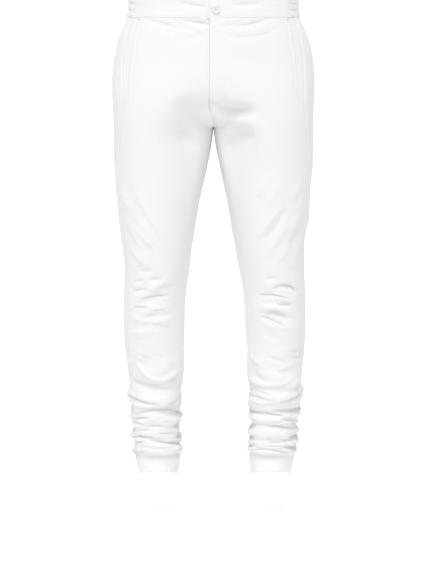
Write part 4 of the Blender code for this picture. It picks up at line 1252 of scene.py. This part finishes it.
fly = {
    "freeEdge": -8.0 * mm,
    "outer": 30.0 * mm,
    "top": -18.5 * mm,
    "bottom": -181 * mm,
    "level": 4.0 * mm,          # from the free edge to here the foot is level, ...
    "curve": 23 * mm,           # ... and from this high the J curves in to it
    "edgeHeight": 0.72 * mm,    # the free edge stands this far off the right front
    "sewnHeight": -0.18 * mm,   # the sewn side is almost level with the left front
    "falls": (0.1, 0.75),       # between these shares of the width
    "wall": 0.6 * mm,
    "edgeRound": 0.9 * mm,
    "edgeShade": 0.7,           # painted shade on the free edge, for the gap beneath it
    "stitchRows": (1.6 * mm, 6.2 * mm),     # inside the outer edge
    "stitchGroove": 0.28 * mm,
    "grooveWidth": 1.1 * mm,
    "ridge": 0.25 * mm,         # between the rows
    "ridgeWidth": 1.6 * mm,
    "stitchFrom": -21.5 * mm,
    "stitchTo": -5.0 * mm,
    "tackAt": (-2.5 * mm, -178 * mm),
    "tackStitches": 26,
    "seamRow": (-184 * mm, -229 * mm),      # the row beside the centre seam, below the strip
    "columns": 41,
    "crowding": 0.12,           # columns are closer together at both edges
    "rows": 110,
    "flat": (0.045, 0.17),
}


def eitherLeg(onRight, build):
    # what build gives for each leg, taken from the right leg where onRight is true
    pick = onRight[..., None]
    return tuple(np.where(pick, own, other)
                 for own, other in zip(build("right"), build("left")))


def centreSurface(x, z):
    # the cloth beside the centre plane at a signed distance x from it, on either leg
    def build(leg):
        points, normals = clothSurface(leg, angleAt(leg, np.abs(x), z), z)
        return onSide(points, leg), onSide(normals, leg)

    return eitherLeg(x < 0, build)


def flyFoot(x):
    # the strip's lower edge: level near the centre, then a quarter of an ellipse upwards
    share = np.clip((x - fly["level"]) / (fly["outer"] - fly["level"]), 0, 1)
    return fly["bottom"] + fly["curve"] * (1 - np.sqrt(1 - share**2))


def flyHeight(x):
    # how far the strip stands off: highest at the free edge, a soft groove at each stitch row
    share = (x - fly["freeEdge"]) / (fly["outer"] - fly["freeEdge"])
    fallen = smooth(share, *fly["falls"])
    height = fly["edgeHeight"] + (fly["sewnHeight"] - fly["edgeHeight"]) * fallen
    inside = fly["outer"] - x
    for inset in fly["stitchRows"]:
        height = height - fly["stitchGroove"] * bell(inside - inset, fly["grooveWidth"])
    between = 0.5 * sum(fly["stitchRows"])
    return height + fly["ridge"] * bell(inside - between, fly["ridgeWidth"])


def onFly(x, z):
    # points and normals of the strip's face
    points, normals = centreSurface(x, z)
    return points + normals * (flyHeight(x) + 0.5 * fly["wall"])[..., None], normals


across = np.linspace(0, 1, fly["columns"])
across = across - fly["crowding"] * np.sin(2 * math.pi * across) / (2 * math.pi)
x = fly["freeEdge"] + (fly["outer"] - fly["freeEdge"]) * across
x = np.broadcast_to(x, (fly["rows"], fly["columns"]))
z = fly["top"] + (flyFoot(x) - fly["top"]) * np.linspace(0, 1, fly["rows"])[:, None]
points, normals = centreSurface(x, z)
height = flyHeight(x)
edge = np.minimum.reduce([x - fly["freeEdge"], fly["outer"] - x, z - flyFoot(x)])
rounded = 0.5 * fly["wall"] * (1 - smooth(edge, 0, fly["edgeRound"]))
face = points + normals * (height + 0.5 * fly["wall"] - rounded)[..., None]
back = points + normals * (height - 0.5 * fly["wall"] + rounded)[..., None]
# painted shade along the free edge
shaded = fly["edgeShade"] * bell(x - fly["freeEdge"], 1.0 * mm)
piece = clothWall("fly_strip", face, back, np.stack([x, z], axis=-1), 0 * x, False, shaded)
finishPiece(piece, legCloth, ["fly_placket"])

flySewing = Seams("fly_topstitching")
sweep = np.linspace(0, 0.5 * math.pi, 40)
curveTop = fly["bottom"] + fly["curve"]
for inset in fly["stitchRows"]:
    # down the outer side, round the J and in to the free edge
    side = fly["outer"] - inset
    foot = fly["bottom"] + inset
    pathX = np.concatenate([np.full(60, side), side - (side - fly["level"]) * (1 - np.cos(sweep)),
                            np.linspace(fly["level"], fly["stitchTo"], 10)])
    pathZ = np.concatenate([np.linspace(fly["stitchFrom"], curveTop, 60),
                            curveTop - (curveTop - foot) * np.sin(sweep), np.full(10, foot)])
    flySewing.row(*onFly(pathX, pathZ))
# a bar tack across the strip's foot, and one row beside the centre seam below it
points, normals = onFly(*np.array(fly["tackAt"])[:, None])
flySewing.tack(points[0], (1, 0, 0), normals[0], fly["tackStitches"])
flySewing.row(*onPanel("left_front", 2 * mm, np.linspace(*fly["seamRow"], 40), 0.1 * mm))
flySewing.finish()
print("fly ready")


# the waistband

band = {
    "proud": 1.2 * mm,
    "wall": 2.6 * mm,
    "leftSeam": 60.5,           # turns of the seams between the fronts and the back
    "rightSeam": 67.0,
    "tabReach": 9 * mm,         # the tab laps this far over the right front, ...
    "underlapReach": 16 * mm,   # ... whose end lies this far under the left
    "underlapRamp": 22 * mm,
    "underlapGap": 0.3 * mm,
    "rows": 45,
    "crowding": 0.7,            # rows are closer together at both rounded edges
    "frontColumns": 130,
    "backColumns": 560,
    "edgeRound": 1.2 * mm,
    "thinnest": 0.15 * mm,
    "paler": 0.7,
    "rubbedWidth": 2.5 * mm,
    "edgeStitch": 2.0 * mm,     # rows of topstitching inside the edges
    "stitchGroove": 0.3 * mm,
    "stitchWidth": 1.0 * mm,
    "roll": 0.22 * mm,          # a faint roll between them, and its waves
    "rollAlong": 19 * mm,
    "rollUp": 9 * mm,
    "channels": (-6.5 * mm, 6.5 * mm),      # stitch rows between the elastic's channels
    "shifts": (0.0, 0.35, -0.245),          # of the puckers in each channel
    "puff": 2.7 * mm,
    "puffPower": 0.6,
    "puffLevel": 0.75,          # this share of the puff lies on the band's plain face
    "gathers": 28,
    "gatherDepth": 1.6 * mm,
    "gatherShift": 0.4,         # share of the puckers' shift
    "gatherLeast": 0.55,        # what the stitch rows leave of them
    "puckers": 84,
    "puckerDepth": 0.55 * mm,
    "puckerPower": 0.8,
    "puckerLeast": 0.5,
    "elasticLift": 0.15 * mm,   # the stitches lie this far off the gathered cloth
    "uneven": ((0.012, 17, 0), (0.008, 41, 1.3), (0.004, 83, 0)),   # share, waves and start
    "frontFlat": (0.19, 0.042),     # folded double, as it lies
    "backFlat": (0.80, 0.042),
}


def bandSurface(turn, z):
    # the band's middle line on either leg; a turn below zero or past 180 is on the right leg
    own = np.where(turn > 180, 360 - turn, np.abs(turn))

    def build(leg):
        points, normals = clothSurface(leg, np.radians(own + 90), z)
        points[..., 2] = z
        relief, shade = creaseRelief(leg, own, z)
        points = points + normals * relief[..., None]
        return onSide(points, leg), onSide(normals, leg), shade[..., None]

    return eitherLeg((turn < 0) | (turn > 180), build)


def bandRows():
    # closer together near the rounded edges
    t = np.linspace(0, 1, band["rows"])
    t = t - band["crowding"] * np.sin(2 * math.pi * t) / (2 * math.pi)
    return body["bandTop"] + (body["bandBottom"] - body["bandTop"]) * t


def bandEdge(distance):
    # how far a face turns in at an edge: r - sqrt(r^2 - (r - d)^2)
    r = band["edgeRound"]
    inside = np.clip(r - distance, 0, r)
    return r - np.sqrt(r * r - inside * inside)


def bandStrip(name, turns, lift, relief, inner, cloth, node, ends):
    # face = surface + normal * (proud + lift + relief), back = face - wall + inner relief,
    # both rounded at the top, bottom and free ends
    turn = np.broadcast_to(turns, (band["rows"], len(turns)))
    z = np.broadcast_to(bandRows()[:, None], turn.shape)
    points, normals, shade = bandSurface(turn, z)
    run = runAlong(points, 1)
    fromEnd = np.minimum(run if ends[0] else run + 1, run[:, -1:] - run if ends[1] else 1.0)
    edge = np.minimum.reduce([body["bandTop"] - z, z - body["bandBottom"], fromEnd])
    rounding = bandEdge(edge)
    outer = band["proud"] + lift + relief(run, z) - rounding
    under = band["proud"] - band["wall"] + lift + inner(run, z) + rounding
    face = points + normals * outer[..., None]
    back = points + normals * np.minimum(under, outer - band["thinnest"])[..., None]
    uv = np.stack([run, z], axis=-1)
    # the top edge is paled by wear, and the band's creases take painted shade
    wearAndPaintedLight = band["paler"] * bell(body["bandTop"] - z, band["rubbedWidth"])
    piece = clothWall(name, face, back, uv, wearAndPaintedLight, False, shade[..., 0])
    finishPiece(piece, cloth, [node])
    return piece, {"points": points, "normals": normals, "outer": outer, "z": z[:, 0]}


def flatRelief(run, z):
    # a shallow groove at each row of topstitching, and a faint roll between them
    toEdge = np.minimum(body["bandTop"] - z, z - body["bandBottom"])
    wave = (band["roll"] * np.sin(run / band["rollAlong"])
            * np.sin((z - body["bandBottom"]) / band["rollUp"]))
    groove = bell(toEdge - band["edgeStitch"], band["stitchWidth"])
    return wave - band["stitchGroove"] * groove


def gatherPhase(run):
    # the gathers' phase: unevenly spaced along the elastic
    s = run / run[:, -1:]
    uneven = sum(share * np.sin(count * s + start) for share, count, start in band["uneven"])
    return s + uneven * np.sin(math.pi * s)


def elasticRelief(run, z):
    # channels puff as a power of sin between the stitch rows; gathers are |sin| along the
    # band, as deep as the solids', with closer puckers, pinched at the stitch rows
    top, bottom = body["bandTop"], body["bandBottom"]
    lines = np.array([bottom, *band["channels"], top])
    channel = np.clip(np.searchsorted(lines, z) - 1, 0, 2)
    share = (z - lines[channel]) / (lines[channel + 1] - lines[channel])
    puff = np.sin(math.pi * np.clip(share, 0.001, 0.999))**band["puffPower"]
    phase = gatherPhase(run)
    shift = np.array(band["shifts"])[channel]
    gathers = np.sin(math.pi * band["gathers"] * phase + band["gatherShift"] * shift)
    gathers = np.abs(gathers) - 0.5
    puckers = np.sin(math.pi * band["puckers"] * phase + shift)
    puckers = np.abs(puckers)**band["puckerPower"] - 0.5
    pinched = band["gatherLeast"] + (1 - band["gatherLeast"]) * puff
    return (band["puff"] * (puff - band["puffLevel"])
            + band["gatherDepth"] * gathers * pinched
            + band["puckerDepth"] * puckers * (band["puckerLeast"] + puff))


def plainInside(run, z):
    # no relief: the inside of the front bands
    return 0 * z


def gatheredInside(run, z):
    # the same |sin| gathers as outside
    pleats = np.abs(np.sin(math.pi * band["gathers"] * gatherPhase(run)))
    return band["gatherDepth"] * (pleats - 0.5)


def turnAt(x):
    # the turn on the band at a distance x from the centre plane
    return np.degrees(np.arcsin(x / profile["outerLeft"](0.0)))


bands = {}
tab = np.linspace(-turnAt(band["tabReach"]), band["leftSeam"], band["frontColumns"])
piece, bands["left"] = bandStrip(
    "left_front_band", tab, 0.0, flatRelief, plainInside, bandCloth,
    "waistband_front_left", (True, False))

# the right front's end dips under the tab
under = np.linspace(-band["rightSeam"], turnAt(band["underlapReach"]), band["frontColumns"])
reach = np.sin(np.radians(under)) * profile["outerLeft"](0.0)
dip = smooth(reach, -band["tabReach"] - band["underlapRamp"], -band["tabReach"] - 2 * mm)
piece, bands["right"] = bandStrip(
    "right_front_band", under, -dip * (band["wall"] + band["underlapGap"]), flatRelief,
    plainInside, bandCloth, "waistband_front_right", (False, True))

around = np.linspace(band["leftSeam"], 360 - band["rightSeam"], band["backColumns"])
piece, bands["back"] = bandStrip(
    "elasticated_back_band", around, 0.0, elasticRelief, gatheredInside, elasticCloth,
    "waistband_back", (False, False))


def onBand(name, z, lift=0.0):
    # the band's face along one height
    grid = bands[name]
    row = np.interp(-z, -grid["z"], np.arange(len(grid["z"])))
    low = min(int(row), len(grid["z"]) - 2)
    share = row - low
    mixed = {key: grid[key][low] * (1 - share) + grid[key][low + 1] * share
             for key in ("points", "normals", "outer")}
    normals = mixed["normals"]
    return mixed["points"] + normals * (mixed["outer"] + lift)[:, None], normals


bandSewing = Seams("waistband_stitching")
highRow, lowRow = body["bandTop"] - band["edgeStitch"], body["bandBottom"] + band["edgeStitch"]
# the right front's rows end where it goes under the tab
for bandName, inset in (("left", slice(2, -2)), ("right", slice(1, 104))):
    for z in (highRow, lowRow):
        points, normals = onBand(bandName, z)
        bandSewing.row(points[inset], normals[inset])
for z in (highRow, *band["channels"], lowRow):
    bandSewing.row(*onBand("back", z, band["elasticLift"]))
# an upright row beside each of the band's seams, and one beside the tab's end
for bandName, column in (("left", -3), ("right", 2), ("left", 2)):
    path = [onBand(bandName, z) for z in np.linspace(highRow, lowRow, 30)]
    bandSewing.row(*(np.array([part[k][column] for part in path]) for k in range(2)))
bandSewing.finish()
print("waistband ready")


# the button and its hole

button = {
    "diameter": 15 * mm,
    "thickness": 3.2 * mm,
    "x": 5.3 * mm,
    "z": -5.0 * mm,
    "holeSpacing": 3.2 * mm,
    "holeDiameter": 1.7 * mm,
    "holeEdge": (0.42, 0.56),   # its rounded rim, as shares of the diameter
    "pit": 0.5,                 # depth of the holes, as a share of the thickness
    "clear": 0.4 * mm,
    "rings": 64,
    "lowRings": 24,
    "lowPower": 0.35,           # roundness of its underside
    "spokes": 120,
    "colour": (0.82, 0.82, 0.81),
    "dark": 0.93,
    "coat": 0.2,
    "threadHeight": 0.6,        # share of the thickness at which the threads come up
    "threadRadius": 0.2 * mm,
    "threadSpread": 0.35 * mm,
    "threadArch": 0.55 * mm,
    "holeEnds": (-10.2 * mm, 7.3 * mm),     # the buttonhole's, either side of the button
    "lipInner": 0.35 * mm,      # its two rows of satin stitches
    "lipOuter": 1.75 * mm,
    "lipRadius": 0.17 * mm,
    "lipArch": 0.16 * mm,
    "lipLift": 0.12 * mm,
}
# shares of its radius and of its thickness: a dished middle in a round rim
buttonProfile = table("radius height", [
    (0, 0.68), (0.45, 0.69), (0.60, 0.72), (0.70, 0.84), (0.78, 0.96), (0.87, 1.0),
    (0.94, 0.93), (0.985, 0.72), (1.0, 0.5)])


def buttonMaterial():
    # cast resin: slow milky clouds, satin gloss
    material, tree, shader = newMaterial("button_resin")
    clouds = node(tree, "TexNoise", "Fac", {
        "Vector": node(tree, "TexCoord", "Object"), "Scale": 160, "Distortion": 1.5})
    colour = button["colour"]
    fill(tree, shader, {
        "Base Color": node(tree, "Mix", "Result", {
            "Factor": clouds, "A": opaque(colour, button["dark"]), "B": opaque(colour)},
            data_type="RGBA"),
        "Roughness": node(tree, "MapRange", "Result", {
            "Value": clouds, "To Min": 0.25, "To Max": 0.40}),
        "Coat Weight": button["coat"]})
    return material


holes = [button["holeSpacing"] / math.sqrt(2) * np.array([math.cos(a), math.sin(a)])
         for a in np.radians([45, 135, 225, 315])]


def buttonTop(radius, turn):
    # the turned profile, less four pits: h = profile(r) - deep * smooth(edge of the hole)
    share = radius / (button["diameter"] / 2)
    height = np.interp(share, buttonProfile["radius"], buttonProfile["height"])
    height = height * button["thickness"]
    x, y = radius * np.cos(turn), radius * np.sin(turn)
    for hole in holes:
        away = np.hypot(x - hole[0], y - hole[1])
        pit = 1 - smooth(away, *np.multiply(button["holeEdge"], button["holeDiameter"]))
        height = height - pit * button["pit"] * button["thickness"]
    return height


spotAngle = np.array([np.radians(turnAt(button["x"]) + 90)])
spot, spotNormal = (field[0] for field in clothSurface("left", spotAngle, np.array([button["z"]])))
spot = spot * (1, 1, 0) + (0, 0, button["z"]) + spotNormal * (band["proud"] + button["clear"])
sideways = np.cross((0, 0, 1), spotNormal)
sideways /= np.linalg.norm(sideways)
upwards = np.cross(spotNormal, sideways)


def onButton(x, y, height):
    # spot + x sideways + y upwards + height normal
    return (spot + x[..., None] * sideways + y[..., None] * upwards
            + height[..., None] * spotNormal)


# rings from the middle of the top out to the rim and back in below: underneath, the radius is
# R sin(pi s / 2)^p and the height thickness / 2 * s^3
spokes = np.linspace(0, 2 * math.pi, button["spokes"], endpoint=False)
ring = np.linspace(0, 1, button["rings"] + 1)[1:, None]
low = np.linspace(1, 0, button["lowRings"])[1:-1, None]
radius = button["diameter"] / 2 * ring + 0 * spokes
lowRadius = button["diameter"] / 2 * np.sin(low * math.pi / 2)**button["lowPower"] + 0 * spokes
top = buttonTop(radius, np.broadcast_to(spokes, radius.shape))
height = np.concatenate([top, 0.5 * button["thickness"] * low**3 + 0 * spokes])
radius = np.concatenate([radius, lowRadius])
grid = onButton(radius * np.cos(spokes), radius * np.sin(spokes), height)
middleHeight = buttonProfile["height"][0] * button["thickness"]
poles = onButton(np.zeros(2), np.zeros(2), np.array([middleHeight, 0.0]))
number = np.arange(radius.size).reshape(radius.shape)
after = np.roll(number, -1, axis=1)
faces = quads(number[:-1], number[1:], after[1:], after[:-1])
for first, second, pole in ((number[0], after[0], 0), (after[-1], number[-1], 1)):
    apex = np.full(button["spokes"], radius.size + pole)
    faces += np.stack([first, second, apex], axis=1).tolist()
piece = meshFrom("resin_button", np.concatenate([grid.reshape(-1, 3), poles]), faces)
finishPiece(piece, buttonMaterial(), ["button"])

# two bars of three threads each through the holes
buttonSewing = Seams("button_threads_and_hole")
for first, second in ((0, 1), (3, 2)):
    for step in np.linspace(-button["threadSpread"], button["threadSpread"], 3):
        ends = np.array([holes[first], holes[second]]) + (0, step)
        height = button["threadHeight"] * button["thickness"]
        places = onButton(ends[:, 0], ends[:, 1], np.full(2, height))
        buttonSewing.add(places[:1], places[1:], spotNormal, button["threadRadius"],
                         button["threadArch"])
# the buttonhole lies level on the tab: two close rows of satin stitches
holeTurn = turnAt(button["x"] + np.linspace(*button["holeEnds"], 60))
lift = band["proud"] + button["lipLift"]
for side in (-1, 1):
    (near, facing, _), (far, _, _) = (
        bandSurface(holeTurn, np.full(60, button["z"] + side * button[lip]))
        for lip in ("lipInner", "lipOuter"))
    buttonSewing.add(near + facing * lift, far + facing * lift, facing,
                     button["lipRadius"], button["lipArch"])
buttonSewing.finish()
print("button ready")


# the rest of the sewing

legRows = {
    "mouth": (-23 * mm, -168 * mm),         # heights of the rows' ends and of the tacks
    "tacks": (-26 * mm, -170 * mm),
    "tackInset": 2.5 * mm,
    "tackSlant": 0.3,
    "tackStitches": 24,
    "hemInset": 2 * mm,
    "seat": (-24 * mm, -226 * mm),
    "seatInset": 3 * mm,
    "lift": 0.1 * mm,
    "hemLift": 0.05 * mm,
}

legSewing = Seams("leg_topstitching")
for legName in sides:
    front = f"{legName}_front"
    # the pocket's mouth, with a bar tack at each end
    z = np.linspace(*legRows["mouth"], 120)
    inset = panelWidth(front, z) - pocket["stitchInset"]
    legSewing.row(*onPanel(front, inset, z, legRows["lift"]))
    for z in legRows["tacks"]:
        inset = panelWidth(front, z) - legRows["tackInset"]
        points, normals = onPanel(front, inset, z, legRows["lift"])
        slant = (legRows["tackSlant"] * sides[legName], 0, 1)
        legSewing.tack(points, slant, normals, legRows["tackStitches"])
    # the hems
    z = body["hem"] + panel["hemHeight"]
    for name in (front, f"{legName}_back"):
        inset = np.linspace(legRows["hemInset"], panelWidth(name, z) - legRows["hemInset"], 160)
        legSewing.row(*onPanel(name, inset, z, legRows["hemLift"]))
# the seat seam is felled: one row beside it
z = np.linspace(*legRows["seat"], 160)
inset = panelWidth("left_back", z) - legRows["seatInset"]
legSewing.row(*onPanel("left_back", inset, z, legRows["lift"]))
legSewing.finish()
print("topstitching ready")


# floor, light and camera

studio = {
    "floor": -1.03,
    "floorEnds": (-20, 20, -8, 30),     # left, right, near and far
    "paper": (0.35, 0.35, 0.35, 1),
    "glow": 0.71,
    "cameraX": 3 * mm,
    "cameraY": -sightFrom,
    "cameraZ": -19.5 * mm,
    "pitch": 8.9036,
    "lens": 108,
    "horizon": 1.12,                    # the world's strength there and overhead, ...
    "sky": 0.25,
    "fallFrom": 0.10,                   # ... and the heights of view between which it falls
    "fallTo": 0.36,
    "lights": {                         # azimuth, height, strength and spread
        "key": (-8, 61, 2.04, 24),
        "rightFill": (-78, 30, 0.20, 70),
        "leftFill": (78, 30, 0.18, 70),
        "backFill": (175, 45, 1.25, 60),
    },
}

# the floor glows a little itself, so that the shadow on it stays faint
left, right, near, far = studio["floorEnds"]
floorMesh = bpy.data.meshes.new("floor")
floorMesh.from_pydata([(x, y, studio["floor"]) for x, y in (
    (left, near), (right, near), (right, far), (left, far))], [], [(0, 1, 2, 3)])
floor = addObject("floor", floorMesh)
paper, tree, shader = newMaterial("pale_floor")
fill(tree, shader, {
    "Base Color": studio["paper"], "Emission Color": (1, 1, 1, 1),
    "Emission Strength": studio["glow"], "Roughness": 0.9})
floorMesh.materials.append(paper)

# white where the floor ends, softer overhead: the strength falls with the height of the view
world = bpy.data.worlds.new("studio")
world.use_nodes = True
tree = world.node_tree
height = node(tree, "SeparateXYZ", "Z", {"Vector": node(tree, "TexCoord", "Generated")})
fall = node(tree, "MapRange", "Result", {
    "Value": height, "From Min": studio["fallFrom"], "From Max": studio["fallTo"],
    "To Min": studio["horizon"], "To Max": studio["sky"]})
fill(tree, tree.nodes["Background"], {"Color": (1, 1, 1, 1), "Strength": fall})
bpy.context.scene.world = world


def sunlight(name, azimuth, height, strength, spread):
    # a soft sun: azimuth in degrees from the front towards the object's left, height above level
    lamp = bpy.data.lights.new(name, "SUN")
    lamp.energy = strength
    lamp.angle = math.radians(spread)
    holder = addObject(name, lamp)
    holder.rotation_euler = (math.radians(90 - height), 0, math.radians(azimuth))


for lightName, setting in studio["lights"].items():
    sunlight(lightName, *setting)

lens = bpy.data.cameras.new("camera")
lens.lens = studio["lens"]
lens.sensor_width = 36
lens.clip_end = 60
eye = addObject("camera", lens)
eye.location = (studio["cameraX"], studio["cameraY"], studio["cameraZ"])
eye.rotation_euler = (math.radians(90 - studio["pitch"]), 0, 0)
bpy.context.scene.camera = eye
bpy.context.scene.view_settings.view_transform = "Standard"

print("pieces:", len(sewn))
